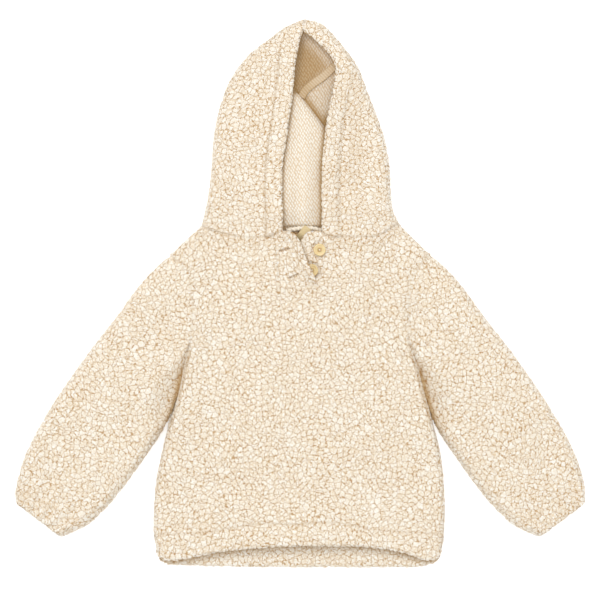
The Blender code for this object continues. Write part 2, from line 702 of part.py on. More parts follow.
def build_hood_half(name, table, neck, side):
    """Half of the hood: facing, upper layer, fold and the layer underneath."""
    table = np.array(table)
    neck = curve(neck)
    if side < 0:
        neck = neck[::-1]
    stations = np.concatenate(([0.0, 0.015, 0.035], np.linspace(0.09, 0.90, 12),
                               [0.945, 0.975, 0.993, 1.0]))
    rows = spline(table, stations)
    opening, fold = rows[:, :2], rows[:, 2:]
    seam = np.array(CENTRE_SEAM)
    lengths = (opening[:, 1] - opening[0, 1]) / (opening[-1, 1] - opening[0, 1])
    under_end = seam[0] + np.outer(lengths, seam[1] - seam[0])
    under_end[:, 0] += side * HALF_GAP
    top_shares = np.concatenate(([0.0, 0.012, 0.035, 0.07], np.linspace(0.13, 0.80, 9),
                                 [0.87, 0.92, 0.96, 0.985, 1.0]))
    low_shares = np.array([0.985, 0.95, 0.85, 0.65, 0.45, 0.25, 0.0])
    outer_rows, inner_rows = [], []
    neck_points = along(neck, top_shares)
    neck_line_straight = neck[0] + np.outer(top_shares, neck[-1] - neck[0])
    for k, station in enumerate(stations):
        start, end, under = opening[k], fold[k], under_end[k]
        width = float(np.linalg.norm(end - start))
        fade = float((1.0 - smooth(station / 0.14)) ** 2)
        straight = start + np.outer(top_shares, end - start)
        plan = straight + (neck_points - neck_line_straight) * fade
        if station == 0.0:
            plan[:, 1] += SEAM_GAP
        if station == 1.0:
            plan[:, 0] += side * HALF_GAP
        from_opening = top_shares * width
        from_fold = (1.0 - top_shares) * width
        edge = WALL + 0.3
        rounding = min(HOOD_ROUND, 0.75 * width)
        faced = facing_share(from_opening) * float(smooth((1.0 - station) / 0.12))
        thick = mix(WALL, HEM_WALL, faced)
        height = hood_height(plan, from_opening)
        outer = edge + (height - edge) * dome(from_fold / rounding)
        inner = outer - thick
        lip = dome((from_opening + 0.4) / (HEM_WALL / 2))
        shared = (outer + inner) / 2
        near = from_opening < HEM_WALL / 2
        outer = np.where(near, shared + (outer - shared) * lip, outer)
        inner = np.where(near, shared - (shared - inner) * lip, inner)
        inset = (WALL + 0.3) / width
        inner_plan = plan.copy()
        close = top_shares > 1.0 - 2.2 * inset
        inner_shares = np.where(close, 1.0 - inset - (1.0 - top_shares) * 0.55, top_shares)
        inner_plan[close] = (start + np.outer(inner_shares, end - start))[close]
        inner_plan[close] += ((neck_points - neck_line_straight) * fade)[close]
        inner = np.maximum(inner, edge + 0.15)
        inner[-1] = edge

        low = under + np.outer(low_shares, end - under)
        behind = back_neck(side)
        low += (along(behind, low_shares) - (behind[0] + np.outer(low_shares, behind[-1] - behind[0]))) * fade
        if station == 0.0:
            low[:, 1] += SEAM_GAP
        reach = float(np.linalg.norm(end - under))
        low_edge = (1.0 - low_shares) * reach
        low_outer = edge * (1.0 - dome(low_edge / edge))
        low_inset = (WALL + 0.3) / reach
        low_inner_shares = np.minimum(low_shares, 1.0 - low_inset - (1.0 - low_shares) * 0.3)
        low_plan = low + np.outer(low_inner_shares - low_shares, end - under)
        outer_rows.append(np.concatenate((stack(plan, outer), stack(low, low_outer))))
        inner_rows.append(np.concatenate((stack(inner_plan, inner),
                                          stack(low_plan, np.full(len(low), WALL)))))
    wall(name, np.array(outer_rows), np.array(inner_rows), "fleece")


def facing_share(from_opening):
    """1 in the turned facing of the hood's opening, 0 beyond it."""
    return 1.0 - smooth((from_opening - HOOD_FACING_WIDTH + 2.0) / 5.0)


def hood_underside(plan):
    """Height below which cloth fits under the hood's upper layer."""
    limits = []
    for table, side in ((HOOD_RIGHT, -1), (HOOD_LEFT, 1)):
        opening = curve([row[:2] for row in table])
        past = side * (plan[..., 0] - np.interp(plan[..., 1], opening[:, 1], opening[:, 0]))
        inside = np.maximum(past, 0.0)
        height = hood_height(plan, inside)
        thick = mix(WALL, HEM_WALL, facing_share(inside))
        limits.append(height - thick / 2 - thick / 2 * dome(inside / (HEM_WALL / 2))
                      + np.maximum(-past, 0.0))
    return np.minimum(*limits) - FOLD_CLEAR


def build_hood_fold():
    """The hood's spare cloth at the back, folded forward inside it."""
    u = np.concatenate(([0.0, 0.03, 0.08], np.linspace(0.16, 0.84, 9), [0.92, 0.97, 1.0]))
    v = np.concatenate(([0.0, 0.02, 0.05], np.linspace(0.11, 0.90, 10), [0.95, 0.98, 1.0]))
    bottom, top, right, left = (curve(k) for k in (FOLD_BOTTOM, FOLD_TOP, FOLD_RIGHT_SIDE,
                                                   FOLD_LEFT_SIDE))
    plan = patch(bottom, top, right, left, u, v)
    edge = np.minimum.reduce([distance(plan, line) for line in (bottom, top, right, left)])
    base = LAYER_TOP + LAY_GAP
    bulge = FOLD_BULGE * np.exp(-((plan[..., 0] - FOLD_BULGE_X) / FOLD_BULGE_WIDTH) ** 2)
    bulge *= 1.0 - smooth((plan[..., 1] - 150.0) / 40.0)
    height = np.minimum(FOLD_REST + bulge, hood_underside(plan))
    outer = base + 1.0 + (height - base - 1.0) * dome((edge + 0.3) / FOLD_ROUND)
    wall("hood_fold", stack(plan, outer), stack(plan, np.full(outer.shape, base)), "knit")


def ribbon(name, line, width, thickness, material, columns=3):
    """Flat strip along a line of x, y, z, thickened upwards by Solidify."""
    line = np.asarray(line, float)
    run = np.gradient(line[:, :2], axis=0)
    run /= np.linalg.norm(run, axis=1, keepdims=True)
    side = np.stack((-run[:, 1], run[:, 0]), axis=1)
    bm = bmesh.new()
    grid = []
    for point, across in zip(line, side):
        row = []
        for share in np.linspace(-0.5, 0.5, columns):
            plan = point[:2] + across * share * width
            row.append(bm.verts.new((plan[0] * MM, plan[1] * MM, point[2] * MM)))
        grid.append(row)
    for a, b in zip(grid[:-1], grid[1:]):
        for k in range(columns - 1):
            bm.faces.new((a[k], b[k], b[k + 1], a[k + 1]))
    bmesh.ops.recalc_face_normals(bm, faces=bm.faces)
    mesh = bpy.data.meshes.new(name)
    bm.to_mesh(mesh)
    bm.free()
    if mesh.polygons[0].normal.z < 0:
        mesh.flip_normals()
    obj = add_object(name, mesh, material)
    solid = obj.modifiers.new("thickness", "SOLIDIFY")
    solid.thickness = thickness * MM
    solid.offset = 1.0
    return obj


def build_neck_inside():
    """Seam tape in the hood, rolled back-neck seam and the ribbon label."""
    start, end = np.array(TAPE_START), np.array(TAPE_END)
    plan = start + np.outer(np.linspace(0, 1, 9), end - start)
    sag = 2.0 * np.sin(np.linspace(0, math.pi, 9))
    plan[:, 1] -= sag
    ribbon("hood_seam_tape", stack(plan, np.full(9, LAYER_TOP + LAY_GAP)),
           TAPE_WIDTH, TAPE_THICKNESS, "knit")

    curve = bpy.data.curves.new("neck_roll", "CURVE")
    curve.dimensions = "3D"
    curve.bevel_depth = ROLL_DIAMETER / 2 * MM
    curve.bevel_resolution = 2
    curve.use_fill_caps = True
    points = spline(NECK_ROLL, np.linspace(0, 1, 15))
    line = curve.splines.new("POLY")
    line.points.add(len(points) - 1)
    for place, (x, y) in zip(line.points, points):
        height = LAYER_TOP + LAY_GAP + ROLL_DIAMETER / 2
        place.co = (x * MM, y * MM, height * MM, 1.0)
    source = bpy.data.objects.new("neck_roll_curve", curve)
    PULLOVER.objects.link(source)
    graph = bpy.context.evaluated_depsgraph_get()
    mesh = bpy.data.meshes.new_from_object(source.evaluated_get(graph))
    bm = bmesh.new()
    bm.from_mesh(mesh)
    bmesh.ops.remove_doubles(bm, verts=bm.verts, dist=0.00002)
    bm.to_mesh(mesh)
    bm.free()
    bpy.data.objects.remove(source)
    add_object("neck_roll", mesh, "knit")

    start, end = np.array(LABEL_START), np.array(LABEL_END)
    shares = np.linspace(0, 1, 10)
    plan = start + np.outer(shares, end - start)
    roll_top = LAYER_TOP + LAY_GAP + ROLL_DIAMETER + LAY_GAP
    height = mix(roll_top, LAYER_TOP + LAY_GAP, smooth((shares - 0.42) / 0.45))
    ribbon("neck_label", stack(plan, height), LABEL_WIDTH, LABEL_THICKNESS, "ribbon")


# ----------------------------------------------------------- placket, buttons
def placket_lift(plan, edge):
    """How far the flap stands above the front, most along its free edge."""
    reach = plan[..., 0] - SLASH_RIGHT_X
    whole = reach + distance(plan, edge)
    along = smooth((plan[..., 1] - SLASH_END_Y) / 26.0)
    return mix(FLAP_LIFT_END, FLAP_LIFT, along) * smooth(reach / np.maximum(whole, 1.0))


def below(plan, line):
    """Signed distance past a line that climbs, counted in x."""
    return plan[..., 0] - np.interp(plan[..., 1], line[:, 1], line[:, 0])


def build_placket(plan, slash):
    """Two placket pieces: the flap with buttonholes, and the one under it."""
    row, first, last = slash
    floor_line = plan[row, first:last + 1]
    end_x = FLAP_EDGE[0][0]
    start_x = UNDER_EDGE[0][0]
    cut = [(x, float(np.interp(x, floor_line[:, 0], floor_line[:, 1]))) for x in (end_x, start_x)]
    edge = curve((cut[0], *FLAP_EDGE[1:]))
    hidden = curve((cut[1], *UNDER_EDGE[1:]))
    v = np.concatenate(([0.0, 0.012], np.linspace(0.05, 0.93, 11), [0.975, 1.0]))
    u = np.array([0.0, 0.05, 0.15, 0.3, 0.45, 0.6, 0.74, 0.85, 0.92, 0.965, 0.99, 1.0])
    _, low_x, low_y = BUTTONS[1]

    def flap_height(points):
        bump = np.hypot(points[..., 0] - low_x, points[..., 1] - low_y) / BUTTON_BUMP_WIDTH
        return front_height(points) + placket_lift(points, edge) + BUTTON_BUMP * np.exp(-bump**2)

    bottom = np.concatenate((floor_line[floor_line[:, 0] < end_x], [cut[0]]))
    top = curve(FLAP_TOP, 20)
    flap = patch(bottom, top, plan[row:, first], edge, u, v)
    flap[:, 0, 0] += SEAM_GAP
    flap[0, :, 1] += SEAM_GAP
    height = flap_height(flap)
    free = np.minimum(distance(flap, edge), distance(flap, top[8:]))
    lip = WALL / 2 * dome((free + 0.3) / (WALL / 2))
    outer = height - WALL / 2 + lip
    over = wall("placket_over", stack(flap, outer), stack(flap, height - WALL / 2 - lip), "fleece")
    cut_buttonholes(over)

    bottom = np.concatenate(([cut[1]], floor_line[floor_line[:, 0] > start_x]))
    under = patch(bottom, curve(UNDER_TOP, 20), hidden, plan[row:, last], u, v)
    under[:, -1, 0] -= SEAM_GAP
    under[0, :, 1] += SEAM_GAP
    beyond = below(under, edge)
    room = SLASH_LEFT_X - SEAM_GAP - (under[..., 0] - beyond)
    ramp = smooth((beyond - 2.5) / np.maximum(room - 3.5, 1.0))
    beneath = under.copy()
    beneath[..., 0] -= np.maximum(beyond, 0.0)
    drop = front_height(beneath) + placket_lift(beneath, edge) - WALL - UNDER_CLEAR
    height = mix(np.minimum(drop, front_height(under)), front_height(under), ramp)
    for _, bx, by in BUTTONS:
        away = np.hypot(under[..., 0] - bx, under[..., 1] - by)
        height -= BUTTON_DIMPLE * (1.0 - smooth((away - BUTTON_DIAMETER / 2 - 1.0) / 3.0))
    lip = UNDER_WALL / 2 * dome((distance(under, hidden) + 0.3) / (UNDER_WALL / 2))
    outer = height - UNDER_WALL / 2 + lip
    wall("placket_under", stack(under, outer), stack(under, height - UNDER_WALL / 2 - lip), "fleece")
    seats = []
    for _, bx, by in BUTTONS:
        away = np.hypot(under[..., 0] - bx, under[..., 1] - by)
        seats.append(float(outer[away < BUTTON_DIAMETER / 2 + 1.5].max()))
    return seats


def cut_buttonholes(flap):
    """Two narrow slots right through the flap."""
    for x, y, tilt in BUTTONHOLES:
        bm = bmesh.new()
        bmesh.ops.create_cube(bm, size=1.0)
        mesh = bpy.data.meshes.new("buttonhole_cutter")
        bm.to_mesh(mesh)
        bm.free()
        cutter = bpy.data.objects.new("buttonhole_cutter", mesh)
        CUTTERS.objects.link(cutter)
        cutter.scale = (BUTTONHOLE_LENGTH * MM, BUTTONHOLE_WIDTH * MM, 40 * MM)
        cutter.location = (x * MM, y * MM, 12 * MM)
        cutter.rotation_euler = (0, 0, math.radians(tilt))
        cutter.hide_render = True
        cutter.display_type = "WIRE"
        slot = flap.modifiers.new("buttonhole", "BOOLEAN")
        slot.operation = "DIFFERENCE"
        slot.object = cutter


def build_button(name, x, y, base):
    """Dished button with a raised rim, turned by Screw, with four holes."""
    radius = BUTTON_DIAMETER / 2
    profile = (
        (0.0, 1.5), (0.55 * radius, 1.4), (0.70 * radius, 1.7), (0.80 * radius, 2.4),
        (0.90 * radius, BUTTON_THICKNESS), (0.98 * radius, 2.1), (radius, 1.4),
        (0.94 * radius, 0.5), (0.80 * radius, 0.0), (0.0, 0.0),
    )
    bm = bmesh.new()
    points = [bm.verts.new((r * MM, 0.0, z * MM)) for r, z in profile]
    for a, b in zip(points[:-1], points[1:]):
        bm.edges.new((a, b))
    mesh = bpy.data.meshes.new(name)
    bm.to_mesh(mesh)
    bm.free()
    button = add_object(name, mesh, "button")
    button.location = (x * MM, y * MM, base * MM)
    turn = button.modifiers.new("turn", "SCREW")
    turn.steps = turn.render_steps = 16
    turn.use_merge_vertices = True
    turn.merge_threshold = 0.00001
    turn.use_normal_calculate = True
    bm = bmesh.new()
    for k in range(4):
        angle = math.radians(45 + 90 * k)
        made = bmesh.ops.create_cone(bm, cap_ends=True, segments=8,
                                     radius1=BUTTON_HOLE_DIAMETER / 2 * MM,
                                     radius2=BUTTON_HOLE_DIAMETER / 2 * MM, depth=8 * MM)
        offset = (math.cos(angle) * BUTTON_HOLE_SPREAD * MM,
                  math.sin(angle) * BUTTON_HOLE_SPREAD * MM, 0.0)
        bmesh.ops.translate(bm, verts=made["verts"], vec=offset)
    holes = bpy.data.meshes.new(name + "_holes")
    bm.to_mesh(holes)
    bm.free()
    cutter = bpy.data.objects.new(name + "_holes", holes)
    CUTTERS.objects.link(cutter)
    cutter.location = button.location
    cutter.hide_render = True
    cutter.display_type = "WIRE"
    cut = button.modifiers.new("holes", "BOOLEAN")
    cut.operation = "DIFFERENCE"
    cut.object = cutter


# -------------------------------------------------------------------- build
for old in list(bpy.data.objects):
    bpy.data.objects.remove(old, do_unlink=True)
PULLOVER = bpy.data.collections.new("sherpa_fleece_pullover")
CUTTERS = bpy.data.collections.new("cutters")
bpy.context.scene.collection.children.link(PULLOVER)
bpy.context.scene.collection.children.link(CUTTERS)

front_plan, _, _, slash_cells = build_body()
build_sleeve("sleeve_right", -1)
build_sleeve("sleeve_left", 1)
build_hood_half("hood_right", HOOD_RIGHT, NECK_RIGHT, -1)
build_hood_half("hood_left", HOOD_LEFT, NECK_LEFT, 1)
build_hood_fold()
build_neck_inside()
for (button_name, bx, by), seat in zip(BUTTONS, build_placket(front_plan, slash_cells)):
    build_button(button_name, bx, by, seat + LAY_GAP)
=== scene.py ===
"""Looks of the toddler's hooded sherpa fleece pullover, laid flat with its front up.

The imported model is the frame.  Each fleece piece gets two meshes on its solid's
form: a thin smooth cloth, knit on its inner side, and the curled pile on it.
Lengths are in millimetres and turned into metres where a mesh is made.
"""
import json
import math

import bmesh
import bpy
import numpy as np
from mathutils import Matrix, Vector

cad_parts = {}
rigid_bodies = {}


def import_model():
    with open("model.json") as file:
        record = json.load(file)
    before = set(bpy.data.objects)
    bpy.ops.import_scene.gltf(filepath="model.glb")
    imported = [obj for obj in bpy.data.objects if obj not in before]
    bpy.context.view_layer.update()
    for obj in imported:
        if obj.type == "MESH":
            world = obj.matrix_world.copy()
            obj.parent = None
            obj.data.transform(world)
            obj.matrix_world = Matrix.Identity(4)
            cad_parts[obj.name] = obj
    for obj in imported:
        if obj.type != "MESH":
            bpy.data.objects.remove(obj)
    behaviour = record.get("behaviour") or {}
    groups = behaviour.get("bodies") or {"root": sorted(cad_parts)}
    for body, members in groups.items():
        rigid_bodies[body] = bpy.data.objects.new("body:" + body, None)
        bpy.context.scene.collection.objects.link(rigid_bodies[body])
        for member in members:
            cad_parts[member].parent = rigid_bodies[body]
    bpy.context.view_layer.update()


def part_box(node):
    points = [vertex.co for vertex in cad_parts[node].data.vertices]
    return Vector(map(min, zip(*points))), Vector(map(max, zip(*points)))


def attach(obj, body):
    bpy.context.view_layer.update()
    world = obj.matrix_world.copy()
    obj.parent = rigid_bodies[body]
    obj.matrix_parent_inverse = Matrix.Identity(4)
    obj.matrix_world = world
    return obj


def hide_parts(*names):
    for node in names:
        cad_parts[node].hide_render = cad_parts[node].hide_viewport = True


for old in list(bpy.data.objects):
    bpy.data.objects.remove(old, do_unlink=True)
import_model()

# ----------------------------------------------------------------- sizes, mm
MM = 0.001
WALL = 4.0                  # knit backing and pile together
HEM_WALL = 6.8              # cloth turned back on itself and pressed by its seam
SEAM_GAP = 0.35             # between two pieces that are sewn together
LAY_GAP = 0.35              # between two pieces that lie on each other

SPLIT = WALL + LAY_GAP      # underside of what lies on the lowest layer
HEM_SPLIT = HEM_WALL + LAY_GAP
HEM_ROUND = HEM_WALL / 2    # rounding of an edge where the cloth is turned back
EDGE_LIP = 0.9              # height of the small flat left at a folded edge
BACK_LIP = 1.6
BACK_CHAMFER = 3.2          # rounding of the lower edges

HEM_LINE_Y = -236.0         # where the turned hem ends inside the body
HEM_RAMP = 12.0
HEM_LEAD = 1.5              # the front clears the turned back hem this much early
BODY_CROWN = 3.8            # how far the front stands up in its middle
BODY_REST = 11.4            # outer height of the front near its sides
CHEST_CROWN = 4.2
HEM_REST = 14.8             # outer height of the front at the hem's corners
HEM_CROWN = 5.4
BODY_HALF_WIDTH = 143.0
CHEST_REST = BODY_REST + 0.4
CHEST_HALF_WIDTH = 112.0
HEM_VALLEY = 1.1            # depth of the valley along the hem's upper edge
SIDE_ROUND = 7.0            # rounding of the body's folded sides
SEAM_DIP = 1.6              # depth of the valley along a seam
SEAM_DIP_WIDTH = 7.0

# The sleeve's edge is tucked under the front's side below the armpit.
TUCK_TOP_Y = -42.0
TUCK_LOW_Y = -138.0
TUCK_END_Y = -126.0         # where the sleeve comes out from under the body
TUCK_LIFT = 4.7
TUCK_FLAT = 8.0
TUCK_RAMP = 16.0

SLEEVE_CROWN = 17.7
SLEEVE_ROUND = 10.0
SLEEVE_RISE = 60.0          # how far from the armhole it reaches its crown
SLEEVE_BEND = 0.22          # share of its length over which it follows the armhole's curve
CASING_ROUND = 8.0
CREASE_DEPTH = 1.2
CASING_CROWN = 20.5         # outer height of the elastic casing
CASING_LENGTH = 15.0
GATHERS = 5                 # gathers across one face of the casing
GATHER_DEPTH = 1.1

HOOD_FACING_WIDTH = 17.0
HOOD_FACING_TOP = 20.5
HOOD_PANEL_TOP = 16.5
HOOD_ROUND = 11.0
HOOD_BEND = 0.14            # share of its height over which it follows the neck's curve
HOOD_CROWN_TOP = 15.5       # outer height at the crown
NECK_TOP = 13.4             # outer height of the cloth along the neck seam
NECK_FACING_RISE = 4.2

BUTTON_RADIUS = 6.2
BUTTON_HOLE_RADIUS = 0.75
BUTTON_HOLE_SPREAD = 1.5
BUTTONHOLE_LENGTH = 10.5
# Half section of a button, from the middle of its face to that of its back.
BUTTON_PROFILE = (
    (0.0, 0.62), (0.30, 0.61), (0.50, 0.60), (0.60, 0.64), (0.68, 0.76), (0.75, 0.90),
    (0.82, 0.985), (0.88, 1.0), (0.94, 0.93), (0.98, 0.78), (1.0, 0.58), (0.985, 0.36),
    (0.93, 0.16), (0.84, 0.03), (0.70, 0.0), (0.0, 0.0),
)
BUTTON_SEGMENTS = 96
SLIT_DEPTH = 3.2            # of a buttonhole in the pile

ROLL_DIAMETER = 4.4
LABEL_WIDTH = 8.0
LABEL_THICKNESS = 0.8
TAPE_WIDTH = 9.0
TAPE_SHOWN = 0.88           # share of its width that its cloth has
TAPE_RIB = 2.6
TAPE_THICKNESS = 1.2
SHARP_ANGLE = 50.0          # degrees; edges of cloth sharper than this aren't shaded smooth
BUTTON_SHARP_ANGLE = 40.0

# ------------------------------------------------------------ outlines, mm
# Side of the body from hem corner to armpit: y, x on the right, x on the left.
BODY_SIDES = (
    (-259.0, -142.4, 141.4),
    (-240.0, -145.5, 144.4),
    (-216.0, -145.6, 145.2),
    (-190.0, -143.6, 144.3),
    (-162.0, -138.2, 141.0),
    (-140.0, -132.8, 136.0),
    (-118.0, -125.8, 129.8),
    (-95.0, -119.5, 123.2),
    (-72.0, -114.8, 117.2),
    (-48.5, -108.5, 107.6),
)
# Sleeves and armholes are the same on both sides of this line.
MIDDLE_X = 0.9
# Armhole seam from armpit to shoulder point, both sides: distance out, y.
ARMHOLE = (
    (107.0, -48.5),
    (108.4, -29.0),
    (108.0, -14.0),
    (110.2, 2.0),
    (114.8, 18.5),
    (129.0, 38.5),
)
# Front edge of the hem, which is arched and lets the back hem show.
FRONT_HEM = (
    (-142.4, -259.0), (-138.4, -265.0), (-127.0, -266.6), (-99.0, -261.4),
    (-69.5, -256.4), (-29.5, -252.9), (13.0, -251.8), (55.5, -252.2),
    (88.5, -255.4), (109.5, -260.6), (127.5, -266.4), (137.2, -265.0),
    (141.4, -259.0),
)
BACK_HEM = (
    (-142.4, -259.0), (-141.0, -265.6), (-135.5, -270.2), (-119.5, -272.0),
    (-95.5, -272.8), (-50.0, -273.9), (13.0, -274.2), (90.0, -274.0),
    (124.5, -272.8), (135.0, -270.0), (139.8, -265.6), (141.4, -259.0),
)
# Neck seam of the front from right to left, and the straighter one behind.
NECK_RIGHT = (
    (-98.0, 66.5), (-85.5, 62.3), (-72.0, 58.8), (-57.0, 55.6),
    (-42.5, 55.2), (-32.5, 57.0), (-24.0, 59.4), (-17.0, 61.2),
)
NECK_LEFT = (
    (22.5, 60.4), (30.0, 57.2), (43.5, 56.2), (60.0, 56.2),
    (72.5, 56.4), (83.0, 59.8), (92.0, 66.2), (99.5, 69.0),
)
BACK_NECK_MIDDLE = ((-50.0, 63.6), (50.0, 64.6))
SHOULDER_MIDDLE = (115.0, 52.6)

# Sleeve, for both sides: outer edge distance out, y and inner edge out, y.
SLEEVE_STATIONS = (
    (129.0, 38.5, 107.0, -48.5),
    (144.0, 26.0, 110.0, -70.0),
    (161.5, 7.0, 118.0, -95.0),
    (182.5, -22.0, 128.4, -119.0),
    (206.5, -52.5, 140.5, -142.0),
    (228.5, -83.0, 154.0, -162.0),
    (248.0, -112.0, 168.5, -182.5),
    (265.5, -142.0, 184.0, -203.0),
    (278.5, -171.0, 200.5, -221.0),
    (284.2, -194.5, 217.5, -234.6),
    (284.9, -208.0, 237.6, -243.4),
)
# Hood halves: opening edge x, y and folded outer edge x, y, neck to crown.
HOOD_RIGHT = (
    (-17.0, 61.2, -98.0, 66.5),
    (-17.0, 84.0, -94.3, 82.0),
    (-17.6, 108.0, -90.0, 106.0),
    (-16.6, 132.0, -87.6, 131.0),
    (-13.0, 156.0, -85.4, 158.0),
    (-9.5, 180.0, -79.6, 186.0),
    (-6.2, 205.0, -68.2, 215.0),
    (-4.4, 229.0, -49.5, 239.5),
    (-1.2, 246.0, -31.0, 253.4),
    (1.6, 257.0, -10.0, 268.0),
    (3.3, 261.5, 4.6, 273.8),
)
HOOD_LEFT = (
    (22.5, 60.4, 99.5, 69.0),
    (22.6, 84.0, 93.4, 84.0),
    (22.5, 106.0, 91.0, 106.0),
    (23.2, 130.0, 89.6, 130.0),
    (25.6, 156.0, 84.2, 157.0),
    (29.2, 182.0, 74.8, 184.0),
    (34.2, 206.0, 65.2, 209.0),
    (35.0, 229.0, 54.0, 233.5),
    (28.0, 240.0, 40.6, 250.5),
    (17.5, 250.8, 26.0, 266.2),
    (9.6, 257.6, 16.6, 271.6),
    (3.7, 261.5, 6.0, 273.8),
)
CENTRE_SEAM = ((0.5, 62.6), (3.5, 267.0))       # the hood's seam, underneath

# The slash at the front of the neck and its two placket pieces.
SLASH_RIGHT_X = -24.0
SLASH_LEFT_X = 30.0
SLASH_END_Y = 2.0
FLAP_EDGE = (
    (17.4, 2.0), (16.8, 10.0), (14.6, 17.0), (11.5, 23.5), (8.5, 30.0),
    (5.5, 38.0), (2.8, 46.0), (0.4, 52.0), (-4.2, 57.6),
)
FLAP_TOP = ((-24.0, 59.4), (-17.0, 61.2), (-10.0, 60.6), (-4.2, 57.6))
UNDER_EDGE = ((-3.0, 2.0), (-3.4, 22.0), (-2.0, 40.0), (1.2, 51.0), (4.6, 57.4))
UNDER_TOP = ((4.6, 57.4), (9.0, 60.8), (15.0, 61.2), (22.5, 60.4), (30.0, 57.2))
# Nominal sizes that the spacing of the placket's points is worked out from.
FLAP_WIDTH = 38.0
UNDER_WIDTH = 34.0
SLASH_LENGTH = 58.0
FLAP_LIFT = 2.6             # how far the flap's free edge stands up, and at its foot
FLAP_LIFT_END = 0.0
UNDER_WALL = 3.4
UNDER_CLEAR = 0.55
BUTTON_DIMPLE = 1.6         # how far a button presses the cloth in
BUTTON_BUMP = 3.0           # how far the flap stands up over the lower one
BUTTON_BUMP_WIDTH = 11.0
# Buttons: name, x, y.
BUTTONS = (
    ("button_upper", 20.0, 43.0),
    ("button_lower", 12.4, 22.6),
)
# Buttonholes: x, y, tilt in degrees.
BUTTONHOLES = (
    (-15.3, 43.2, 14.0),
    (-5.7, 17.0, 25.0),
)

# Soft troughs of the cloth: start x, y, end x, y, half width, depth.
FRONT_FOLDS = (
    (-42.0, -58.0, -92.0, -186.0, 15.0, 1.9),
    (-10.0, -72.0, -56.0, -196.0, 12.0, 1.4),
    (26.0, -84.0, 74.0, -222.0, 16.0, 2.0),
    (-70.0, 20.0, -96.0, -6.0, 14.0, 1.1),
    (64.0, 22.0, 92.0, 2.0, 14.0, 1.2),
)
SLEEVE_FOLDS = (
    (243.0, -138.0, 246.0, -184.0, 11.0, 2.4),
    (120.0, -20.0, 168.0, -60.0, 12.0, 1.2),
    (172.0, -128.0, 224.0, -176.0, 12.0, 1.3),
)
HOOD_FOLDS = (
    (45.0, 214.0, 40.0, 74.0, 9.0, 2.8),
    (-52.0, 140.0, -24.0, 122.0, 10.0, 1.5),
    (-66.0, 88.0, -30.0, 92.0, 9.0, 1.0),
)

# The hood's back, folded forward inside: its outline and its rise.
FOLD_BOTTOM = ((-38.0, 67.6), (0.0, 67.2), (42.0, 67.6))
FOLD_LEFT_SIDE = ((42.0, 67.6), (46.0, 108.0), (41.0, 148.0))
FOLD_RIGHT_SIDE = ((-38.0, 67.6), (-44.0, 120.0), (-42.0, 176.0), (-30.0, 206.0))
FOLD_TOP = (
    (-30.0, 206.0), (-16.0, 208.5), (-6.5, 203.5), (4.0, 193.5),
    (15.0, 179.5), (25.5, 166.0), (41.0, 148.0),
)
FOLD_WIDTH = 80.0           # nominal, for the spacing of its points
FOLD_LENGTH = 120.0
FOLD_STEP = 1.7
FOLD_REST = 11.6            # its outer height, and the bulge down its middle
FOLD_BULGE = 3.6
FOLD_BULGE_WIDTH = 9.0
FOLD_BULGE_X = 2.6
FOLD_CLEAR = 1.4
FOLD_FALL = 4.6             # how far the fold sinks towards the neck
FOLD_ROUND = 9.0

NECK_ROLL = ((-13.0, 62.4), (-3.0, 64.4), (8.0, 65.0), (18.0, 63.6), (22.0, 62.0))
LABEL_START = (8.6, 65.6)
LABEL_END = (-4.4, 49.4)
TAPE_LINE = ((36.0, 228.0), (24.0, 217.2), (11.5, 208.0), (5.5, 202.5), (1.8, 196.0))

# ------------------------------------------------------------------- colours
LIGHT_CURL = (0.865, 0.83, 0.74, 1.0)
WARM_CURL = (0.82, 0.75, 0.635, 1.0)
# Painted highlight on the tips of the curls.
TIP_HIGHLIGHT = (0.895, 0.885, 0.87, 1.0)
# Painted shade in the fine gaps and swirl lines of the curls, and in the wider gaps between them.
FINE_GAP_SHADE = (0.66, 0.485, 0.28, 1.0)
GAP_SHADE = (0.46, 0.28, 0.12, 1.0)
FLEECE_DEEP = (0.55, 0.42, 0.27, 1.0)   # what multiplies the fleece in full shade
KNIT_LIGHT = (0.905, 0.87, 0.795, 1.0)
KNIT_DARK = (0.71, 0.57, 0.40, 1.0)
DEEP = (0.47, 0.33, 0.165, 1.0)         # what multiplies knit and thread in full shade
THREAD_LIGHT = (0.97, 0.93, 0.84, 1.0)
THREAD_DARK = (0.86, 0.75, 0.58, 1.0)
RIBBON_DARK = (0.60, 0.465, 0.235, 1.0)
RIBBON_LIGHT = (0.80, 0.655, 0.385, 1.0)
BUTTON_DARK = (0.72, 0.55, 0.265, 1.0)
BUTTON_LIGHT = (0.80, 0.655, 0.375, 1.0)
# What multiplies the button in full painted shade.
BUTTON_DEEP = (0.72, 0.56, 0.26, 1.0)
# Painted glow, added to cloth and thread where shade is painted, and its strength.
PAINTED_GLOW = (1.0, 0.66, 0.28, 1.0)
FLEECE_GLOW = 0.02
KNIT_GLOW = 0.05

# --------------------------------------------------------- shade of each place
# A shade over 1 no longer darkens knit and thread, and only adds to their glow.
NECK_GLOW = 9.0             # on the back's knit, behind the neck
RIM_GLOW = 12.0             # on the upper rim of the left hood half
THREAD_SHADE = 6.0          # on the threads of the buttons
FLAP_SHADE = 0.9            # beside the flap's free edge
ARM_SHADE = 1.8             # on the sleeve beside the body
SIDE_SHADE = 1.1            # on the edge of the body that turns down to a sleeve
HEM_SHADE = 1.7             # on the back's hem, along the front's
NECK_SHADE = 0.22           # on the front, below the neck seam
DEPTH_SHADE = 0.87          # inside the hood, above its tape
RIM_SHADE = 0.85            # inside the hood, under its rim
LIT_SHADE = 0.3             # on what lies low inside the hood
FOLD_SHADE = 1.0            # and along the top of the fold
HOOD_RIM_SHADE = 0.9        # on the rim itself, and the facing turned in
# Soft shade on the left half of the hood, as in the tables of troughs.
HOOD_SHADES = ((56.0, 205.0, 52.0, 112.0, 9.0, 0.25),)

